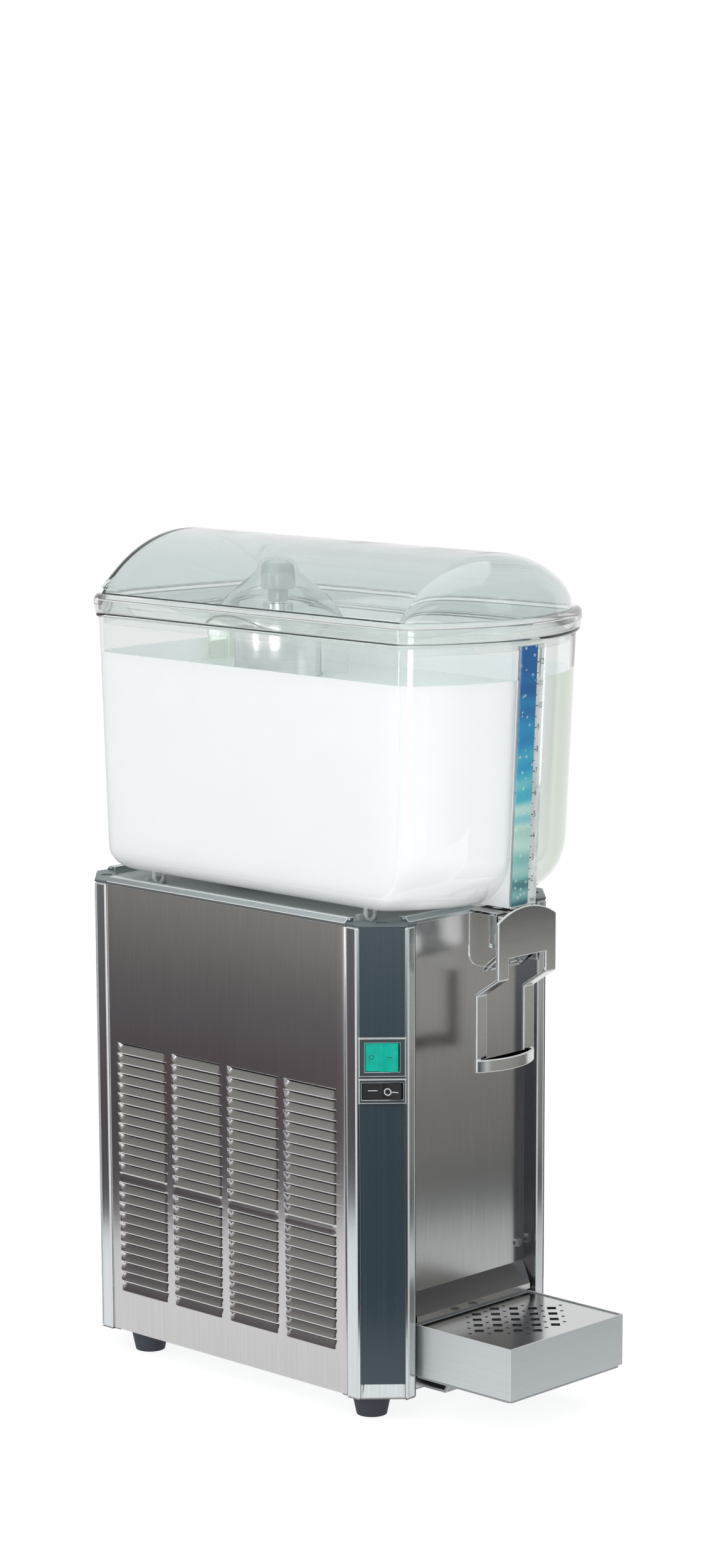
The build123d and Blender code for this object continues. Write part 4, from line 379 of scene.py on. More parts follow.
for side in ("left", "right"):
    points, quads = louvred_sheet(side)
    panel = make_piece(
        "side_sheet_" + side, points, quads, brushed, "cabinet", ("side_panel_" + side,), closed=False,
    )
    wall = panel.modifiers.new("sheet", "SOLIDIFY")
    wall.thickness = sheet / 1000
    wall.offset = -1.0
    edge = panel.modifiers.new("deburred", "BEVEL")
    edge.width = deburr_width
    edge.segments = 2
    edge.limit_method = "ANGLE"
    edge.angle_limit = deburr_angle


# Front panel. The same sheet, folded to a splash slope at its foot and fixed by two screws.
# Its rounded edges and folds carry a painted highlight.

eased("front_panel", brushed, ease=0.0006, crease=20, painted_highlight_finish=painted_edge_highlight)


# Rear panel and cable gland. Grey coated sheet with air slots closes the back between the rear posts.
# A moulded gland in it holds the mains lead.

# Powder coat: light grey with a soft orange peel of about 2 mm
powder = mottled(
    "grey_powder_coat", 50, 2.0, ("#8b9193", "#9aa0a2"), {"Roughness": 0.45, "IOR": 1.5},
    relief=(2, 1.0, 0.15, 0.3),
)
dress(powder, "rear_panel")

# Moulded black nylon: dark, satin, with a fine grain of about 1 mm
black_nylon = mottled(
    "moulded_black_nylon", 30, 2.0, ("#16191b", "#23282b"), {"Roughness": 0.4, "IOR": 1.53},
    relief=(1, 2.0, 0.25, 0.2),
)
dress(black_nylon, "cable_gland", "fan", "control_box", "thermostat")


# Top rails. Four bright aluminium strips that close the cabinet's top edge between the post caps.
# They are extruded and anodised like the posts, and their rounded edges carry a painted highlight.

# Anodised aluminium as on the posts: its die lines lie level along a rail, drawn 1.2 mm apart
anodised_rail = mottled(
    "anodised_aluminium_rail", (250, 250, 1.2), 3.0, ("#a3adb0", "#bac3c6"), {"Metallic": 1.0},
    gloss=(0.22, 0.34),
)
for rail in ("left", "right", "front", "rear"):
    eased("rail_" + rail, anodised_rail, ease=0.0006, painted_highlight_finish=painted_edge_highlight)


# Deck. One moulded plastic tray under the bowl, with catches for the bowl's hooks.
# The bowl stands on it, and the cold cylinder comes up through it.

# Moulded polypropylene: pale slate grey, dull, with a leather-like grain of about 1.5 mm
deck_plastic = mottled(
    "moulded_slate_polypropylene", 40, 2.0, ("#a2aaa9", "#b2b9b7"), {"Roughness": 0.5, "IOR": 1.49},
    relief=(1.5, 2.0, 0.25, 0.2),
)
dress(deck_plastic, "deck")


# Cooling plant. A painted compressor and motors, a finned condenser and copper pipes inside the cabinet.
# Little of it is seen: only what shows through the louvres and the air slots.

# Black enamel on pressed steel: glossy, with an orange peel of about 3 mm
enamel = mottled(
    "black_enamel", 3, 1.0, ("#0d0e10", "#17181b"), {"Roughness": 0.3, "IOR": 1.5},
    relief=(3, 1.0, 0.12, 0.3),
)
dress(enamel, "compressor", "drive_motor", "fan_motor")

# Drawn copper: warm metal, dulled in patches of about 12 mm where it has been handled
copper = mottled(
    "drawn_copper_tube", 12, 3.0, ("#c98563", "#9a5f43"), {"Metallic": 1.0}, gloss=(0.22, 0.45),
)
dress(copper, "suction_pipe", "filter_drier")

# Rolled aluminium fins: plain mill finish with rolling lines 2 mm apart
fins = mottled(
    "mill_aluminium_fins", (2, 2, 200), 2.0, ("#a9adaf", "#cbced0"), {"Metallic": 1.0, "Roughness": 0.38},
)
dress(fins, "condenser")


# Switches. Two moulded frames snapped into the left corner, with a lit green rocker and a black one.
# Each rocker rests with its right end out, and tips over its upright pivot until its left end is out.

rocker_tilt = radians(8.0)
rocker_pivot = Vector((-0.092043, -0.112043, 0.0))
power_width, power_z = 25.0, 291.5
mixer_width, mixer_z = 30.0, 265.0
valley_out, ink_lift = 2.0, 0.06


def tipped(rocker):
    """Turn a rocker's mesh about its upright pivot from the tilt on one side to the tilt on the other."""
    over = Matrix.Rotation(-2 * rocker_tilt, 4, "Z")
    rocker.data.transform(Matrix.Translation(rocker_pivot) @ over @ Matrix.Translation(-rocker_pivot))


# Moulded nylon frame: slate, satin, with a fine grain; its rounded edges carry a painted highlight
frame_nylon = mottled(
    "moulded_slate_nylon", 1, 2.0, ("#38454c", "#445158"), {"Roughness": 0.3, "IOR": 1.53},
)
eased("power_switch_body", frame_nylon, ease=0.0003, painted_highlight_finish=painted_edge_highlight)
eased("mixer_switch_body", frame_nylon, ease=0.0003, painted_highlight_finish=painted_edge_highlight)
tipped(eased("mixer_rocker", black_nylon, ease=0.0007))

# Tinted polycarbonate, lit from behind: saturated green, glossy, brighter in soft patches of about 8 mm
lit_green, tree, place = new_finish("lit_green_polycarbonate")
glow = add(tree, "TexNoise", {"Vector": place, "Scale": 1 / 0.008, "Detail": 1.0})
tone = add(tree, "Mix", {0: glow.outputs["Fac"], 6: srgb("#009c8a"), 7: srgb("#00bda6")}, data_type="RGBA")
surface = add(tree, "BsdfPrincipled", {
    "Base Color": tone.outputs[2], "Roughness": 0.16, "IOR": 1.585,
    "Emission Color": tone.outputs[2], "Emission Strength": 0.35,
})
add(tree, "OutputMaterial", {"Surface": surface.outputs["BSDF"]})
tipped(eased("power_rocker", lit_green, ease=0.0007))

# Pad-printed ink: a thin film, slightly uneven in tone over about 1.5 mm
white_ink = mottled(
    "white_pad_printed_ink", 1.5, 2.0, ("#d9dde0", "#f2f4f5"), {"Roughness": 0.45, "IOR": 1.5},
)
dark_ink = mottled(
    "dark_pad_printed_ink", 1.5, 2.0, ("#0c3b38", "#145450"), {"Roughness": 0.4, "IOR": 1.5},
)

corner_along, corner_out = np.array([1.0, -1.0, 0.0]) / 2**0.5, np.array([-1.0, -1.0, 0.0]) / 2**0.5


def flat_ring(across, up, radius, width):
    """Flat ring in a plane: two circles half a width inside and outside the radius."""
    turn = np.linspace(0, 2 * pi, 40)[None, :]
    reach = radius + width * np.array([[-0.5], [0.5]])
    return np.stack([across + reach * np.cos(turn), up + reach * np.sin(turn)], -1)


def flat_bar(across, up, length, width):
    """Flat bar in a plane, along its first axis."""
    x, y = np.meshgrid(across + length * np.array([-0.5, 0.5]), up + width * np.array([-0.5, 0.5]))
    return np.stack([x, y], -1)


def rocker_mark(name, marks, half, rocker_width, pivot_z, finish, body):
    """Flat marks on one half of a rocker's face, a hair above it.

    The face rises from the valley at its middle by the tilt to each end, and the whole rocker is turned by
    the tilt about its upright pivot, so the place along the face is turned twice.
    """
    lean = np.arctan(sin(rocker_tilt))
    pivot = 1000 * np.array(rocker_pivot) + (0.0, 0.0, pivot_z)
    along = corner_along * cos(rocker_tilt) + corner_out * sin(rocker_tilt)
    out = corner_out * cos(rocker_tilt) - corner_along * sin(rocker_tilt)
    face_along = along * cos(lean) + out * sin(lean) * half
    face_out = out * cos(lean) - along * sin(lean) * half
    middle = pivot + out * valley_out + face_along * half * rocker_width / 4 + face_out * ink_lift
    points, quads = [], []
    for mark in marks:
        start = sum(len(rows) for rows in points)
        quads.append(grid_quads(*mark.shape[:2]) + start)
        lifted = middle + mark[..., :1] * face_along + mark[..., 1:] * np.array([0.0, 0.0, 1.0])
        points.append(lifted.reshape(-1, 3))
    points, quads = np.concatenate(points), np.concatenate(quads)
    make_piece(name, points, quads, finish, body, slot="black_plastic", closed=False)


for name, half, marks in (
    ("power_mark_off", -1, [flat_ring(-1.5, 0.0, 1.6, 0.45)]),
    ("power_mark_on", 1, [flat_bar(-0.5, 0.0, 4.0, 0.45)]),
):
    rocker_mark(name, marks, half, power_width, power_z, dark_ink, "power_rocker")
for name, half, marks in (
    ("mixer_mark_off", -1, [flat_bar(0.5, 0.4, 7.2, 0.7)]),
    ("mixer_mark_on", 1, [flat_ring(-3.0, -0.4, 2.5, 0.9), flat_bar(2.6, -0.4, 6.0, 0.7)]),
):
    rocker_mark(name, marks, half, mixer_width, mixer_z, white_ink, "mixer_rocker")


# Bowl. A deep clear tank moulded in one piece, with a bowed front, a rounded foot and a square nose for the
# tap. A bead runs under its rim, a neck stands round the cold cylinder, and four hooks below hold it down.

# Clear polycarbonate: faintly grey in the bowl and more so in the vault, nearly white in the small fittings,
# and a little milky in the lid's rim; mould flow makes its surface wander over about 45 mm, and the lamps'
# light passes through
clear_of = {}
for moulding, tint, shade, clearness, bend in (
    ("bowl", "#f3f5f4", "#f6f8f8", 1.0, 1.585), ("fitting", "#fafcfb", "#f6f8f8", 1.0, 1.585),
    ("rim", "#f4f6f5", "#f6f8f8", 0.9, 1.3), ("vault", "#dfe5e5", "#eff3f3", 1.0, 1.42),
):
    clear_of[moulding], tree, place = new_finish(f"clear_{moulding}_polycarbonate")
    flow = add(tree, "TexNoise", {"Vector": place, "Scale": 1 / 0.045, "Detail": 1.0})
    gloss = add(tree, "MapRange", {"Value": flow.outputs["Fac"], "To Min": 0.0, "To Max": 0.04})
    relief = add(tree, "Bump", {"Height": flow.outputs["Fac"], "Strength": 0.1, "Distance": 0.001})
    body = add(tree, "BsdfPrincipled", {
        "Base Color": srgb(tint), "Roughness": gloss.outputs["Result"], "IOR": bend,
        "Transmission Weight": clearness, "Normal": relief.outputs["Normal"],
    })
    lamp = add(tree, "BsdfTransparent", {"Color": srgb(shade)})
    ray = add(tree, "LightPath")
    surface = add(tree, "MixShader", {
        0: ray.outputs["Is Shadow Ray"], 1: body.outputs["BSDF"], 2: lamp.outputs["BSDF"],
    })
    add(tree, "OutputMaterial", {"Surface": surface.outputs["Shader"]})

# Pale, half clear polycarbonate that scatters light and looks white: a painted highlight in place of the
# bright outlines of clear edges
painted_highlight_clear = mottled(
    "painted_highlight_polycarbonate", 1.5, 2.0, ("#e3eaec", "#f6f9fa"),
    {"Roughness": 0.4, "IOR": 1.585, "Transmission Weight": 0.35},
)

floor_z, cold_y = 400.2, 87.5
front_y, rear_y = -126.5, 220.5
bowl_width, bowl_height, bowl_wall, bowl_bow = 196.8, 219.0, 3.0, 40.0
nose_half, nose_top, nose_proud, neck_bore, neck_height = 13.5, 203.0, 1.5, 38.0, 12.0
side_foot, front_foot, corner_round = 18.0, 44.0, 20.0
side_lean, rear_lean, front_lean = 4.4, 3.5, 10.5
rear_gap, front_gap = 15.5, 14.0


def bowl_outline(height, inset, nose):
    """Plan of the bowl at each height and inset: half of it from the front, then its mirror image.

    The half is the flat front of the nose where there is one, an arc of the bow through the middle and the
    shoulder, a round of the corner's radius that touches the arc and the side, the side, a second round, and
    the rear. Sides, rear and front lean in towards the foot, and there draw in by a quarter round, a larger
    one at the front.
    """
    height, inset, nose = (np.array(values, float)[:, None] for values in (height, inset, nose))
    fall = 1 - height / bowl_height
    up = height - inset
    drawn = []
    for reach in (side_foot - inset, front_foot - inset):
        drawn.append(reach - np.sqrt(np.maximum(reach**2 - np.maximum(reach - up, 0) ** 2, 0)))
    half = bowl_width / 2 - side_lean * fall - drawn[0] - inset
    rear = rear_y - rear_gap - rear_lean * fall - drawn[0] - inset
    bow_front = front_y - front_gap - bowl_bow + front_lean * fall + inset
    front = bow_front + drawn[1]
    sag = bowl_bow * half / (bowl_width / 2)
    radius = (half**2 + sag**2) / (2 * sag)
    round_ = corner_round - inset
    arc_y = front + radius
    turn_y = arc_y - np.sqrt((radius - round_) ** 2 - (half - round_) ** 2)
    turn = np.arctan2(turn_y - arc_y, half - round_)
    edge = nose_half - inset
    flat_x = edge * np.linspace(0, 1, 4)
    flat_y = np.minimum(bow_front - nose_proud, front)
    flat_y = np.where(nose > 0, flat_y, arc_y - np.sqrt(radius**2 - flat_x**2))
    bow_x = edge + (radius * np.cos(turn) - edge) * np.linspace(0, 1, 12)
    bow_y = arc_y - np.sqrt(radius**2 - bow_x**2)
    swing = turn * np.linspace(1, 0, 8)[1:]
    quarter = np.linspace(0, pi / 2, 7)
    side_y = turn_y + (rear - round_ - turn_y) * np.linspace(0, 1, 14)[1:-1]
    x = np.concatenate([
        flat_x, bow_x, half - round_ + round_ * np.cos(swing), half + 0 * side_y,
        half - round_ + round_ * np.cos(quarter), (half - round_) * np.array([0.66, 0.33, 0.0]),
    ], 1)
    y = np.concatenate([
        flat_y, bow_y, turn_y + round_ * np.sin(swing), side_y,
        rear - round_ + round_ * np.sin(quarter), rear + np.zeros((1, 3)),
    ], 1)
    return np.concatenate([x, -x[:, -2:0:-1]], 1), np.concatenate([y, y[:, -2:0:-1]], 1)


def ringed(height, inset, nose):
    """Rings of points round the bowl, one for each height above its floor."""
    x, y = bowl_outline(height, inset, nose)
    return np.stack([x, y, np.broadcast_to(floor_z + np.array(height)[:, None], x.shape)], -1)


def neck_rings(ring, radius, height):
    """Circles round the cold cylinder, each point at the same angle as its point of the given ring."""
    angle = np.arctan2(ring[:, 1] - cold_y, ring[:, 0])
    radius, height = np.array(radius)[:, None], np.array(height)[:, None]
    return np.stack(np.broadcast_arrays(
        radius * np.cos(angle), cold_y + radius * np.sin(angle), floor_z + height
    ), -1)


wall_low, wall_high, rim_half = 60.0, 190.0, bowl_wall / 2
bead_height, bead_half, bead_proud = 206.25, 1.75, 2.5
foot_heights = front_foot * (1 - np.cos(np.linspace(0, pi / 2, 16)))
inner_foot = foot_heights * (front_foot - bowl_wall) / front_foot
arch = np.linspace(0, pi, 7)
outer = np.concatenate([foot_heights, np.linspace(wall_low, wall_high, 5), [nose_top, nose_top]])
inner = np.concatenate([
    [nose_top - bowl_wall] * 2, np.linspace(wall_high, wall_low, 5), bowl_wall + inner_foot[::-1],
])
heights = np.concatenate([
    outer, bead_height - bead_half * np.cos(arch), bowl_height - rim_half + rim_half * np.sin(arch), inner,
])
insets = np.concatenate([
    0 * outer, -bead_proud * np.sin(arch), rim_half - rim_half * np.cos(arch), 0 * inner + bowl_wall,
])
nosed = np.concatenate([0 * outer[:-1] + 1, np.zeros(1 + 2 * len(arch) + 1), 0 * inner[1:] + 1])
wall_rings = ringed(heights, insets, nosed)
neck = neck_rings(
    wall_rings[0], [neck_bore + bowl_wall] * 2 + [neck_bore] * 2, [bowl_wall, neck_height, neck_height, 0.0],
)
tank = np.concatenate([wall_rings, neck])
make_piece("bowl_tank", tank, grid_quads(*tank.shape[:2], True, True), clear_of["bowl"], "bowl", ("bowl",))

hook_radius, hook_thick, hook_deep, hook_ease = 5.0, 2.0, 3.0, 0.0003
hook_bend, hook_root = 397.3, 402.0
hook_half, hook_front, hook_rear = 78.0, -86.5, 148.5
bend = np.linspace(0, pi, 15)
path = np.stack([hook_radius * np.cos(bend), hook_bend - hook_radius * np.sin(bend)], -1)
path = np.concatenate([[(hook_radius, hook_root)] * 2, path, [(-hook_radius, hook_root)] * 2])
outward = np.concatenate([[(1.0, 0.0)] * 2, np.stack([np.cos(bend), -np.sin(bend)], -1), [(-1.0, 0.0)] * 2])
open_ = np.ones((len(path), 1, 1))
open_[[0, -1]] = 0
spread = open_ * np.array([(1, -1), (1, 1), (-1, 1), (-1, -1)]) / 2
# The hooks are wholly in the pale painted highlight finish, so that they show as white outlines.
for hook_x, hand in ((-hook_half, "left"), (hook_half, "right")):
    for hook_y, where in ((hook_front, "front"), (hook_rear, "rear")):
        points = np.stack([
            hook_x + path[:, None, 0] + outward[:, None, 0] * spread[..., 0] * hook_thick,
            hook_y + spread[..., 1] * hook_deep,
            path[:, None, 1] + outward[:, None, 1] * spread[..., 0] * hook_thick,
        ], -1)
        quads = grid_quads(*points.shape[:2], False, True)
        hook = make_piece(f"bowl_hook_{where}_{hand}", points, quads, painted_highlight_clear, "bowl", slot="clear_plastic")
        edge = hook.modifiers.new("moulded_edge", "BEVEL")
        edge.width = hook_ease
        edge.segments = 2
        edge.limit_method = "ANGLE"


# Gauge plate and tap housing. A clear strip clipped to the nose, with a printed band on one side and litre
# marks on the other. Below it hang the tap's clear cheeks and outlet tube, moulded in one.

dress(clear_of["fitting"], "gauge_plate")
# The tap housing's rounded edges carry the pale painted highlight finish.
eased("tap_housing", clear_of["fitting"], ease=0.0007, painted_highlight_finish=painted_highlight_clear)

plate_foot, plate_head, plate_half = 404.4, 603.0, 13.3
band_edge, band_depth = 4.7, 0.9


def on_plate(x, z, depth):
    """Points in the gauge plate, a depth in front of the nose; the plate leans with the bowl's front."""
    lean = front_lean * (1 - (np.asarray(z) - floor_z) / bowl_height)
    return np.stack(np.broadcast_arrays(x, front_y - front_gap - bowl_bow - nose_proud + lean - depth, z), -1)


# Printed band: sea colours from deep blue at the top through pale mint to teal at the foot, in swells about
# 20 mm apart with small round bubbles 6 mm apart
unit_wave, swell_length = 0.314, 0.020
printed, tree, place = new_finish("printed_gauge_band")
axes = add(tree, "SeparateXYZ", {"Vector": place})
rise = add(tree, "MapRange", {
    "Value": axes.outputs["Z"], "From Min": plate_foot / 1000, "From Max": plate_head / 1000,
})
swell = add(tree, "TexWave", {
    "Vector": place, "Scale": unit_wave / swell_length, "Distortion": 2.2, "Detail": 1.0, "Detail Scale": 1.5,
}, bands_direction="Z")
shift = add(tree, "MapRange", {"Value": swell.outputs["Fac"], "To Min": -0.06, "To Max": 0.06})
level = add(tree, "Math", {0: rise.outputs["Result"], 1: shift.outputs["Result"]}, operation="ADD")
sea = add(tree, "ValToRGB", {"Fac": level.outputs[0]})
for share, code in (
    (0.0, "#1f6f7c"), (0.12, "#8fc9c6"), (0.3, "#cfeae2"), (0.45, "#56c3d2"), (0.62, "#2f9fce"),
    (0.88, "#1768a8"),
):
    sea.color_ramp.elements.new(share).color = srgb(code)
sea.color_ramp.elements.remove(sea.color_ramp.elements[0])
sea.color_ramp.elements.remove(sea.color_ramp.elements[-1])
bubble = add(tree, "TexVoronoi", {"Vector": place, "Scale": 1 / 0.006, "Randomness": 0.9})
drop = add(tree, "MapRange", {
    "Value": bubble.outputs["Distance"], "From Min": 0.16, "From Max": 0.24, "To Min": 0.55, "To Max": 0.0,
})
tone = add(tree, "Mix", {
    0: drop.outputs["Result"], 6: sea.outputs["Color"], 7: srgb("#e9f7f5"),
}, data_type="RGBA")
surface = add(tree, "BsdfPrincipled", {"Base Color": tone.outputs[2], "Roughness": 0.35, "IOR": 1.5})
add(tree, "OutputMaterial", {"Surface": surface.outputs["BSDF"]})

x, z = np.meshgrid(np.linspace(-plate_half, band_edge, 4), np.linspace(plate_head, plate_foot, 24))
points = on_plate(x, z, band_depth)
make_piece("gauge_band", points, grid_quads(*x.shape), printed, "bowl", slot="gauge_plastic", closed=False)

# Screen-printed ink: black, thin, with slight mottle of about 1 mm
black_ink = mottled(
    "black_screen_printed_ink", 1, 2.0, ("#10181a", "#273134"), {"Roughness": 0.5, "IOR": 1.5},
)

litres, litre_mark, litre_rise = 12, 590.0, 16.65
whole_mark, half_mark, mark_thick, scale_depth = 2.3, 1.3, 0.7, 1.0
digit_size, word_size, letter_gap, letter_width = 6.6, 4.2, 2.8, 0.7
mark_z = litre_mark - litre_rise * np.arange(0, litres - 1, 0.5)
mark_long = np.where(np.arange(len(mark_z)) % 2 == 0, whole_mark, half_mark)
corner_x = band_edge + mark_long[:, None] * np.array([0.0, 0.0, 1.0, 1.0])
corner_z = mark_z[:, None] + mark_thick * np.array([0.5, -0.5, -0.5, 0.5])
scale_points = [on_plate(corner_x, corner_z, scale_depth).reshape(-1, 3)]
scale_faces = np.arange(4 * len(mark_z)).reshape(-1, 4).tolist()
for litre in range(1, litres + 1):
    letters = bpy.data.curves.new("litre", "FONT")
    letters.body = str(litre) if litre > 1 else "MIN"
    letters.size = digit_size if litre > 1 else word_size
    letters.align_x = "LEFT"
    letters.align_y = "CENTER"
    holder = bpy.data.objects.new("litre", letters)
    shape = bpy.data.meshes.new_from_object(holder)
    flat = np.empty(3 * len(shape.vertices))
    shape.vertices.foreach_get("co", flat)
    flat = flat.reshape(-1, 3)
    start = sum(len(rows) for rows in scale_points)
    scale_faces += [[start + corner for corner in face.vertices] for face in shape.polygons]
    letter_z = litre_mark - litre_rise * (litres - litre) + flat[:, 1]
    scale_points.append(on_plate(band_edge + letter_gap + letter_width * flat[:, 0], letter_z, scale_depth))
    bpy.data.objects.remove(holder)
    bpy.data.meshes.remove(shape)
    bpy.data.curves.remove(letters)
marks = bpy.data.meshes.new("gauge_scale")
marks.from_pydata((np.concatenate(scale_points) / 1000).tolist(), [], scale_faces)
marks.materials.append(black_ink)
gauge_scale = bpy.data.objects.new("gauge_scale", marks)
scene.collection.objects.link(gauge_scale)
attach(gauge_scale, "bowl")


# Cold cylinder. A polished stainless shell that stands up through the bowl, chilled from inside.
# The agitator's shaft comes up through its middle.

# Polished stainless: bright, with fine turning rings 2 mm apart and a faint mist of cold
polished = mottled(
    "polished_stainless", (400, 400, 2), 2.0, ("#e4e6e6", "#f2f3f3"), {"Metallic": 1.0}, gloss=(0.14, 0.24),
)
dress(polished, "evaporator", "drive_shaft", "lever_pin")


# Drink. The bowl is filled with a pale milky drink to about the ten litre mark.
# Stirring leaves a film of it on the wall, up to about the eleven litre mark.

# Milky drink: white liquid with slight clouds of about 60 mm. Its level top has a painted grey shade, the
# right of its front a faint painted green shade, and a faint painted glow lightens all of it
milk, tree, place = new_finish("milky_drink")
cloud = add(tree, "TexNoise", {"Vector": place, "Scale": 1 / 0.06, "Detail": 2.0})
side_tone = add(tree, "Mix", {
    0: cloud.outputs["Fac"], 6: srgb("#f0f2f3"), 7: srgb("#f4f5f7"),
}, data_type="RGBA")
# Painted shade: faces turned to the front are tinted green towards the right of the drink.
facing = add(tree, "SeparateXYZ", {"Vector": add(tree, "NewGeometry").outputs["Normal"]})
front = add(tree, "MapRange", {"Value": facing.outputs["Y"], "From Min": -0.3, "From Max": -0.8})
spot = add(tree, "SeparateXYZ", {"Vector": place})
right = add(tree, "MapRange", {
    "Value": spot.outputs["X"], "From Min": 0.01, "From Max": 0.05, "To Max": front.outputs["Result"],
})
side_tone = add(tree, "Mix", {
    0: right.outputs["Result"], 6: side_tone.outputs[2], 7: srgb("#d3dccf"),
}, data_type="RGBA")
# Painted shade: faces turned upwards, the level top, are made grey.
top = add(tree, "MapRange", {"Value": facing.outputs["Z"], "From Min": 0.6, "From Max": 0.9})
tone = add(tree, "Mix", {
    0: top.outputs["Result"], 6: side_tone.outputs[2], 7: srgb("#c0c8c6"),
}, data_type="RGBA")
# Painted glow: the drink gives out a little of its own tone, which lightens it all over.
surface = add(tree, "BsdfPrincipled", {
    "Base Color": tone.outputs[2], "Roughness": 0.12, "IOR": 1.35, "Emission Color": tone.outputs[2],
    "Emission Strength": 0.14,
})
add(tree, "OutputMaterial", {"Surface": surface.outputs["BSDF"]})

film_top, film_height, film_edge, film_thick = 176.9, 18.0, 0.9, 1.5
drink_bite, shore_radius = 0.8, 36.0
drink_level, drink_inset = film_top - film_height, bowl_wall - drink_bite
heights = np.concatenate([
    drink_inset + inner_foot, np.linspace(wall_low, film_top, 6), [film_top, drink_level],
])
insets = np.concatenate([0 * heights[:-2], [film_edge, film_thick]]) + drink_inset
pool = ringed(heights, insets, 0 * heights + 1)
shore = neck_rings(pool[0], [shore_radius] * 2, [drink_level, drink_inset])
pool = np.concatenate([pool, shore])
make_piece("drink", pool, grid_quads(*pool.shape[:2], True, True), milk, "bowl", slot="milky_plastic")


# Lid. A clear moulded vault: a barrel from a flat rear end, turned down over the front, on a skirted rim.
# It lifts off; the inner rim drops into the bowl and the skirt goes round the outside.

lid_z, lid_plate, lid_span, lid_rise, lid_wall = 619.5, 4.0, 195.0, 46.0, 2.5
lid_rear, chord_y = 203.5, -134.5
vault_edge, vault_draw, draw_share = 11.0, 20.0, 0.8
barrel_rear_gap, barrel_front_gap = 13, 6


def vault_skin(half, rise, rear):
    """Grid of one skin of the vault: rear wall, barrel, front.

    The section is an arc of the given half span and rise. It stands at the rear on a rounded edge, is carried
    along y to the chord, and there turns forward about the chord by a quarter turn. Towards the rear its span
    draws in by a quarter round.
    """
    radius = (half**2 + rise**2) / (2 * rise)
    swing = np.linspace(-1, 1, 49) * np.arcsin(half / radius)
    x = radius * np.sin(swing)
    height = np.maximum(radius * np.cos(swing) - radius + rise, 0)
    ease = np.linspace(0, pi / 2, 5)[:, None]
    edge = np.minimum(vault_edge, height)
    rows = [np.stack([x, 0 * x + rear, 0 * x], -1)[None]]
    rows += [np.stack(np.broadcast_arrays(
        x, rear - edge + edge * np.cos(ease), height - edge + edge * np.sin(ease)
    ), -1)]
    along = np.linspace(rear - barrel_rear_gap, chord_y + barrel_front_gap, 14)[:, None]
    rows += [np.stack(np.broadcast_arrays(x, along, height), -1)]
    tilt = np.linspace(0, pi / 2, 20)[:, None]
    rows += [np.stack(np.broadcast_arrays(x, chord_y - height * np.sin(tilt), height * np.cos(tilt)), -1)]
    skin = np.concatenate(rows)
    past = np.maximum(skin[..., 1] - rear + vault_draw, 0)
    skin[..., 0] *= 1 - (vault_draw - np.sqrt(vault_draw**2 - past**2)) / half * draw_share
    skin[..., 2] += lid_z + lid_plate
    return skin


def walled(outer, inner):
    """Points and quads of a shell between two like grids: both skins, and a strip round their edges."""
    rows, columns = outer.shape[:2]
    number = np.arange(rows * columns).reshape(rows, columns)
    border = np.concatenate([number[0], number[1:, -1], number[-1, -2::-1], number[-2:0:-1, 0]])
    after = np.roll(border, -1)
    strip = np.stack([border, after, after + rows * columns, border + rows * columns], -1)
    skin = grid_quads(rows, columns)
    quads = np.concatenate([skin, skin[:, ::-1] + rows * columns, strip])
    return np.concatenate([outer.reshape(-1, 3), inner.reshape(-1, 3)]), quads


vault = walled(
    vault_skin(lid_span / 2, lid_rise, lid_rear),
    vault_skin(lid_span / 2 - lid_wall, lid_rise - lid_wall, lid_rear - lid_wall),
)
make_piece("lid_vault", *vault, clear_of["vault"], "lid", ("lid",))

skirt_proud, skirt, rim_inset, rim_wall, rim_depth = 3.5, 11.0, 4.4, 2.0, 20.0
rim_round, hem_round, rim_step, step_foot, step_head = 5.5, 1.1, 0.7, -5.5, -4.8
ease = np.linspace(0, pi / 2, 8)
sunk, drawn = 1 - np.sin(ease), 1 - np.cos(ease)
shoulder = np.stack([lid_plate - rim_round * sunk, rim_round * drawn - skirt_proud], -1)
hem = np.stack([hem_round * sunk - skirt, rim_step - skirt_proud + hem_round * drawn], -1)[::-1]
section = np.concatenate([hem, [(step_foot, rim_step - skirt_proud), (step_head, -skirt_proud)], shoulder, [
    (lid_plate, rim_inset + rim_wall), (-rim_depth, rim_inset + rim_wall), (-rim_depth, rim_inset),
    (0.0, rim_inset), (0.0, lid_wall - skirt_proud), (-skirt, lid_wall - skirt_proud),
]])
x, y = bowl_outline(0 * section[:, 0] + bowl_height, section[:, 1], 0 * section[:, 0])
rim = np.stack([x, y, np.broadcast_to(lid_z + section[:, :1], x.shape)], -1)
quads = grid_quads(*rim.shape[:2], True, True)
make_piece("lid_rim", rim, quads, clear_of["rim"], "lid", slot="clear_plastic", crease=30)


# Agitator. A clear bell-shaped hat with a smoked hub, pushed onto the shaft that comes up through the cold
# cylinder. Two flat paddles hang from its brim into the drink.

# Smoked polycarbonate: grey, half clear, glossy, with slight flow clouds of about 9 mm
smoked = mottled(
    "smoked_polycarbonate", 9, 1.0, ("#d2d8db", "#e9ecee"),
    {"Roughness": 0.12, "IOR": 1.585, "Transmission Weight": 0.3},
)


def softened(profile, cut):
    """Profile with each inner corner eased by a quadratic curve, from a cut before it to a cut after it."""
    profile = np.array(profile, float)
    share = np.linspace(0, 1, 6)[:, None]
    runs = [profile[:1]]
    for before, corner, after in zip(profile[:-2], profile[1:-1], profile[2:]):
        start, end = (
            corner + (to - corner) * min(cut / np.linalg.norm(to - corner), 0.5) for to in (before, after)
        )
        runs.append((1 - share) ** 2 * start + 2 * share * (1 - share) * corner + share**2 * end)
    return np.concatenate(runs + [profile[-1:]])


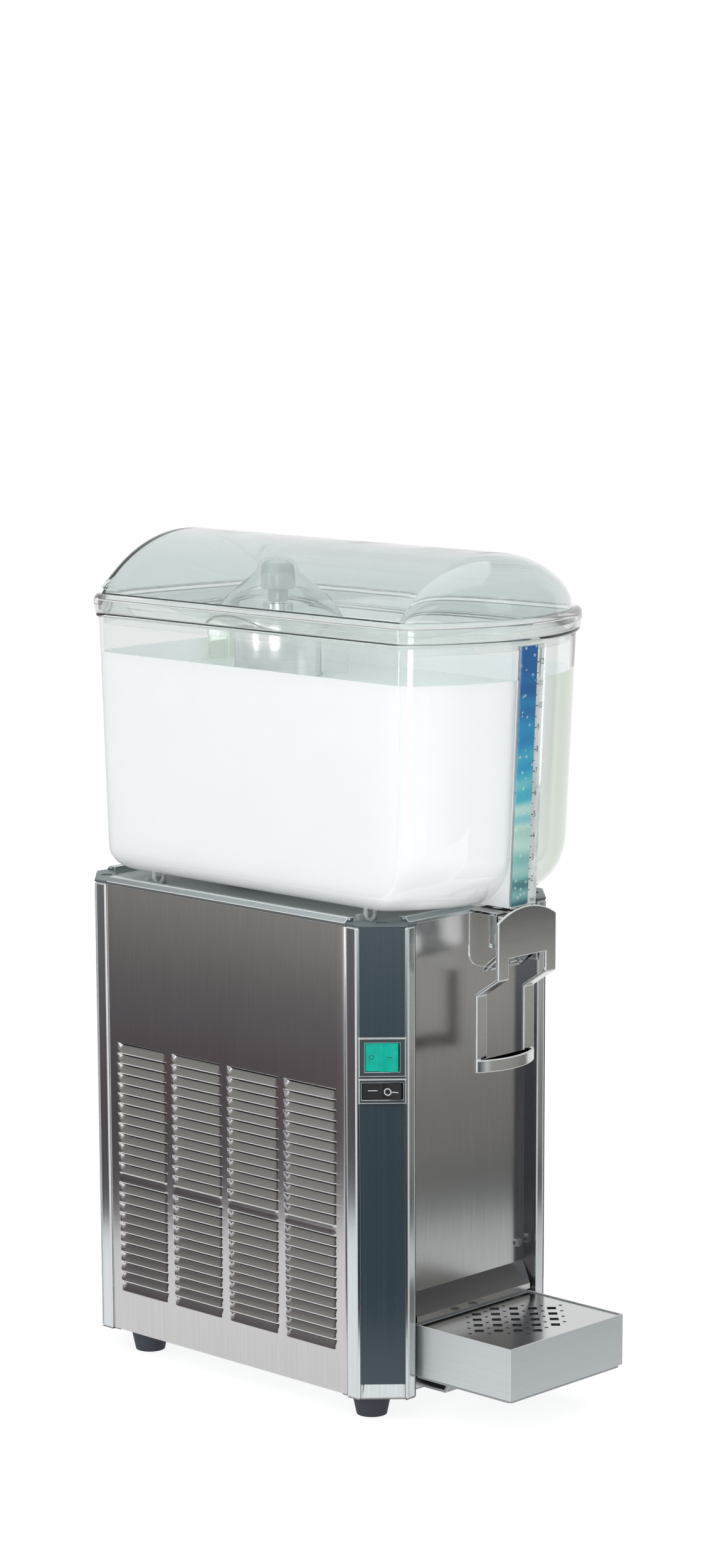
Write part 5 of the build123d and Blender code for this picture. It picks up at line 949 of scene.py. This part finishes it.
def spun(profile, count=72):
    """Rings of a profile of radius and height, turned about the upright axis of the cold cylinder."""
    turn = np.linspace(0, 2 * pi, count, endpoint=False)
    return np.stack(np.broadcast_arrays(
        profile[:, :1] * np.cos(turn), cold_y + profile[:, :1] * np.sin(turn), profile[:, 1:]
    ), -1)


brim_z, crown_z = 598.2, 652.2
brim_ease, hub_ease = 5.0, 2.0
outer = softened([
    (57.5, brim_z), (41.0, 622.2), (17.0, 641.5), (14.6, 649.0), (8.0, crown_z), (0.0, crown_z),
], brim_ease)
inner = softened([
    (0.0, 651.0), (7.4, 651.0), (13.4, 648.0), (15.4, 640.8), (39.0, 622.2), (55.5, brim_z),
], brim_ease)
hat = spun(np.concatenate([outer, inner]))
quads = grid_quads(*hat.shape[:2], True, True)
make_piece("agitator_hat", hat, quads, clear_of["fitting"], "agitator", ("agitator",))
hub = spun(softened([
    (4.3, 640.0), (4.3, 617.0), (8.0, 617.0), (8.0, 627.0), (14.0, 628.0), (13.6, 641.0), (12.4, 647.6),
    (6.8, 650.2), (4.3, 650.2), (4.3, 641.0),
], hub_ease))
quads = grid_quads(*hub.shape[:2], True, True)
make_piece("agitator_hub", hub, quads, smoked, "agitator", slot="clear_plastic")

paddle_out, paddle_half, paddle_thick, paddle_root = 47.0, 9.0, 1.5, 1.0
paddle_drop, paddle_round, paddle_turn = 134, 5.5, radians(-46.0)
squareness, tip_thinning, tip_width = 0.35, 0.3, 0.05
tip = np.linspace(0, pi / 2, 7)
fall = np.concatenate([
    [0.0], np.linspace(0, paddle_drop, 6), paddle_drop + paddle_round * np.sin(tip),
    [paddle_drop + paddle_round],
])
reach = np.concatenate([[0.0], np.ones(6), np.maximum(np.cos(tip), tip_width), [0.0]])[:, None]
turn = np.linspace(0, 2 * pi, 28, endpoint=False)
oval_x, oval_y = (np.sign(wave) * np.abs(wave) ** squareness for wave in (np.cos(turn), np.sin(turn)))
for paddle_x, hand in ((-paddle_out, "left"), (paddle_out, "right")):
    across = paddle_x + reach * paddle_half * oval_x
    thick = reach**tip_thinning * paddle_thick * oval_y
    oar = np.stack(np.broadcast_arrays(
        across * cos(paddle_turn) - thick * sin(paddle_turn),
        cold_y + across * sin(paddle_turn) + thick * cos(paddle_turn), brim_z + paddle_root - fall[:, None],
    ), -1)
    quads = grid_quads(*oar.shape[:2], False, True)
    make_piece("agitator_paddle_" + hand, oar, quads, clear_of["fitting"], "agitator", slot="clear_plastic")


# Tap. A moulded plunger shuts the outlet tube, a coil spring holds it down, and a folded steel lever lifts
# it. The pan of the drip tray has the same milky look.

# Natural silicone: milky, with a soft sheen and faint clouds of about 10 mm
silicone = mottled(
    "milky_moulded_silicone", 10, 2.0, ("#ccd4d7", "#dde3e5"),
    {"Roughness": 0.4, "IOR": 1.43, "Transmission Weight": 0.35},
)
dress(silicone, "plunger", "tray_pan")

# Satin stainless: finely ground, with a level grain drawn 1 mm wide in lines of 300 mm
satin = mottled(
    "satin_stainless_level_grain", (300, 300, 1), 3.0, ("#bcbebe", "#cccecd"), {"Metallic": 1.0},
    gloss=(0.15, 0.21),
)
# The lever's rounded edges carry a painted highlight.
eased("lever", satin, ease=0.0009, painted_highlight_finish=painted_edge_highlight, full=True)

tap_y = front_y - 26.0
spring_wire, spring_turns, spring_keep = 1.2, 5, 0.576


def wound(radius, wire, turns, low, high):
    """Rings of a round wire along a helix about the tap's upright axis, each drawn upright.

    The helix rises evenly from low to high over its turns, and its first and last rings shrink to a point.
    """
    swing = np.linspace(0, 2 * pi * turns, 40 * turns + 1)
    thick = np.concatenate([[0.0], np.ones(len(swing)), [0.0]])[:, None] * wire / 2
    swing = np.concatenate([swing[:1], swing, swing[-1:]])[:, None]
    ring = np.linspace(0, 2 * pi, 10, endpoint=False)
    out = radius + thick * np.cos(ring)
    rise = low + wire / 2 + (high - low - wire) * swing / (2 * pi * turns)
    return np.stack(np.broadcast_arrays(
        out * np.cos(swing), tap_y + out * np.sin(swing), rise + thick * np.sin(ring)
    ), -1)


low, high = (1000 * np.array(corner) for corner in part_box("tap_spring"))
coil = wound((high[0] - low[0]) / 2 - spring_wire / 2, spring_wire, spring_turns, low[2], high[2])
quads = grid_quads(*coil.shape[:2], False, True)
spring = make_piece("tap_spring_coil", coil, quads, polished, "bowl", ("tap_spring",))
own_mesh(spring)


# Drip tray. A folded steel shell with a moulded pan in it, closed by a loose perforated grille.
# The whole tray pulls forward off its bracket, and the grille lifts out.

# Ground stainless: dull and even, with a level grain drawn 1 mm wide in lines of 300 mm
ground = mottled(
    "ground_stainless_level_grain", (300, 300, 1), 3.0, ("#c2c7c9", "#ced3d5"),
    {"Metallic": 0.8, "Roughness": 0.42},
)
# The shell's rounded edges carry a painted highlight.
eased("tray_shell", ground, ease=0.0003, painted_highlight_finish=painted_edge_highlight)
eased("tray_grille", satin, ease=0.0003)


# Studio. A white floor and a white surround, five soft lamps, and toned flags that only reflections see.
# The camera stands where the photograph was taken from.

def seen_share(tree):
    """Share of 1 for a ray from the camera, off a shiny face or through a clear one, and of 0 for others."""
    ray = add(tree, "LightPath").outputs
    seen = add(tree, "Math", {0: ray["Is Camera Ray"], 1: ray["Is Glossy Ray"]}, operation="MAXIMUM")
    seen = add(tree, "Math", {0: seen.outputs[0], 1: ray["Is Transmission Ray"]}, operation="MAXIMUM")
    return seen.outputs[0]


# Floor paper: white to the camera and to reflections, with the object's shadow kept
paper_glow, paper_grey, floor_half = 0.82, 0.38, 30000
paper, tree, _ = new_finish("white_floor_paper")
lift = add(tree, "Math", {0: seen_share(tree), 1: paper_glow}, operation="MULTIPLY")
glow = add(tree, "Emission", {"Color": (1, 1, 1, 1), "Strength": lift.outputs[0]})
paper_face = add(tree, "BsdfDiffuse", {"Color": (paper_grey, paper_grey, paper_grey, 1)})
surface = add(tree, "AddShader", {0: glow.outputs["Emission"], 1: paper_face.outputs["BSDF"]})
add(tree, "OutputMaterial", {"Surface": surface.outputs["Shader"]})
span = np.linspace(-floor_half, floor_half, 3)
floor_points = np.stack(np.broadcast_arrays(span[None, :], span[:, None], 0.0), -1).reshape(-1, 3)
floor_mesh = bpy.data.meshes.new("floor")
floor_mesh.from_pydata((floor_points / 1000).tolist(), [], grid_quads(3, 3)[:, ::-1].tolist())
floor_mesh.materials.append(paper)
floor = bpy.data.objects.new("floor", floor_mesh)
scene.collection.objects.link(floor)


def flag(name, foot, along, up, tones):
    """Flat card seen only in reflections, from the middle of its foot, along its width and up its height.

    These are in metres. Its tones follow the share of its height, and it fades to white towards its side
    edges so that they don't show.
    """
    share = np.array([(-0.5, 0.0), (0.5, 0.0), (0.5, 1.0), (-0.5, 1.0)])
    corners = np.array(foot) + share[:, :1] * np.array(along) + share[:, 1:] * np.array(up)
    mesh = bpy.data.meshes.new(name)
    mesh.from_pydata(corners.tolist(), [], [(0, 1, 2, 3)])
    mesh.uv_layers.new(name="card").data.foreach_set("uv", (share + (0.5, 0.0)).ravel())
    cloth, tree, _ = new_finish(name + "_cloth")
    card = add(tree, "SeparateXYZ", {"Vector": add(tree, "TexCoord").outputs["UV"]})
    far = add(tree, "Math", {0: card.outputs["X"], 1: 0.5}, operation="SUBTRACT")
    far = add(tree, "Math", {0: far.outputs[0]}, operation="ABSOLUTE")
    fade = add(tree, "MapRange", {
        "Value": far.outputs[0], "From Min": 0.3, "From Max": 0.5,
    }, interpolation_type="SMOOTHSTEP")
    shades = add(tree, "ValToRGB", {"Fac": card.outputs["Y"]})
    for height, code in tones:
        shades.color_ramp.elements.new(height).color = srgb(code)
    shades.color_ramp.elements.remove(shades.color_ramp.elements[0])
    shades.color_ramp.elements.remove(shades.color_ramp.elements[-1])
    tone = add(tree, "Mix", {
        0: fade.outputs["Result"], 6: shades.outputs["Color"], 7: (1, 1, 1, 1),
    }, data_type="RGBA")
    glow = add(tree, "Emission", {"Color": tone.outputs[2], "Strength": 1.0})
    add(tree, "OutputMaterial", {"Surface": glow.outputs["Emission"]})
    mesh.materials.append(cloth)
    hung = bpy.data.objects.new(name, mesh)
    scene.collection.objects.link(hung)
    hung.visible_camera = hung.visible_diffuse = hung.visible_transmission = hung.visible_shadow = False


flag("flag_rear_left", (-0.45, 0.42, 0.0), (-1.4, -1.13, 0.0), (0.0, 0.0, 1.1), (
    (0.01, "#5e585a"), (0.06, "#5e585a"), (0.125, "#665a5c"), (0.19, "#6e686c"), (0.28, "#7c7878"),
    (0.42, "#a3a19a"), (0.6, "#aaa8a2"), (0.98, "#ffffff"),
))
flag("flag_front_right", (0.45, -0.47, 0.0), (1.5, 0.29, 0.0), (0.0, 0.0, 1.3), (
    (0.01, "#4c5351"), (0.03, "#535a58"), (0.05, "#8f8d87"), (0.1, "#92908a"), (0.155, "#bab9b3"),
    (0.2, "#bebdb7"), (0.235, "#8a8a88"), (0.255, "#3d3f43"), (0.45, "#3d3f43"), (0.98, "#ffffff"),
))
flag("flag_front_left", (-0.25, -0.29, 0.0), (-0.45, 0.45, 0.0), (0.0, 0.0, 0.38), (
    (0.01, "#1a242c"), (0.5, "#1c2831"), (0.78, "#8a98a0"), (0.98, "#ffffff"),
))
flag("flag_low_front", (0.2, -0.24, 0.002), (0.9, 0.0, 0.0), (0.0, -0.22, 0.0), (
    (0.01, "#ffffff"), (0.3, "#e8ecea"), (0.98, "#dde2e0"),
))

world = bpy.data.worlds.new("surround")
scene.world = world
world.use_nodes = True
tree = world.node_tree
tree.nodes.clear()
level = add(tree, "MapRange", {"Value": seen_share(tree), "To Min": 0.55, "To Max": 1.0})
sky = add(tree, "Background", {"Color": (1, 1, 1, 1), "Strength": level.outputs["Result"]})
add(tree, "OutputWorld", {"Surface": sky.outputs["Background"]})

lamp_aim = Vector((0.0, 0.0, 0.3))
for name, place, size, power, spread, mirrored in (
    ("lamp_left", (-1.6, -0.6, 1.5), (2.0, 2.0), 16.0, True, True),
    ("lamp_front", (0.7, -1.9, 1.3), (0.7, 0.9), 4.5, True, False),
    ("lamp_top", (0.1, 0.2, 2.2), (1.8, 1.8), 11.0, True, True),
    ("lamp_low", (-1.73, -1.27, 0.38), (0.8, 0.7), 9.0, False, True),
    ("lamp_side", (-1.92, 0.56, 0.6), (0.22, 1.0), 5.0, False, True),
):
    light = bpy.data.lights.new(name, "AREA")
    light.shape = "RECTANGLE"
    light.size, light.size_y = size
    light.energy = power
    lamp = bpy.data.objects.new(name, light)
    lamp.location = place
    lamp.rotation_euler = (lamp_aim - lamp.location).to_track_quat("-Z", "Y").to_euler()
    lamp.visible_diffuse, lamp.visible_glossy = spread, mirrored
    scene.collection.objects.link(lamp)

azimuth, elevation, roll = radians(-46.12), radians(11.77), radians(-0.22)
back = Vector((sin(azimuth) * cos(elevation), -cos(azimuth) * cos(elevation), sin(elevation)))
right = Vector((cos(azimuth), sin(azimuth), 0.0))
up = back.cross(right)
tilted_right = right * cos(roll) + up * sin(roll)
tilted_up = up * cos(roll) - right * sin(roll)
view = bpy.data.cameras.new("photo_camera")
view.lens = 88.99
view.sensor_width = 36.0
view.shift_y = 0.132
camera = bpy.data.objects.new("photo_camera", view)
camera.matrix_world = Matrix((tilted_right, tilted_up, back)).transposed().to_4x4()
camera.location = (-2.1782, -2.0940, 0.9422)
scene.collection.objects.link(camera)
scene.camera = camera
scene.view_settings.view_transform = "Standard"
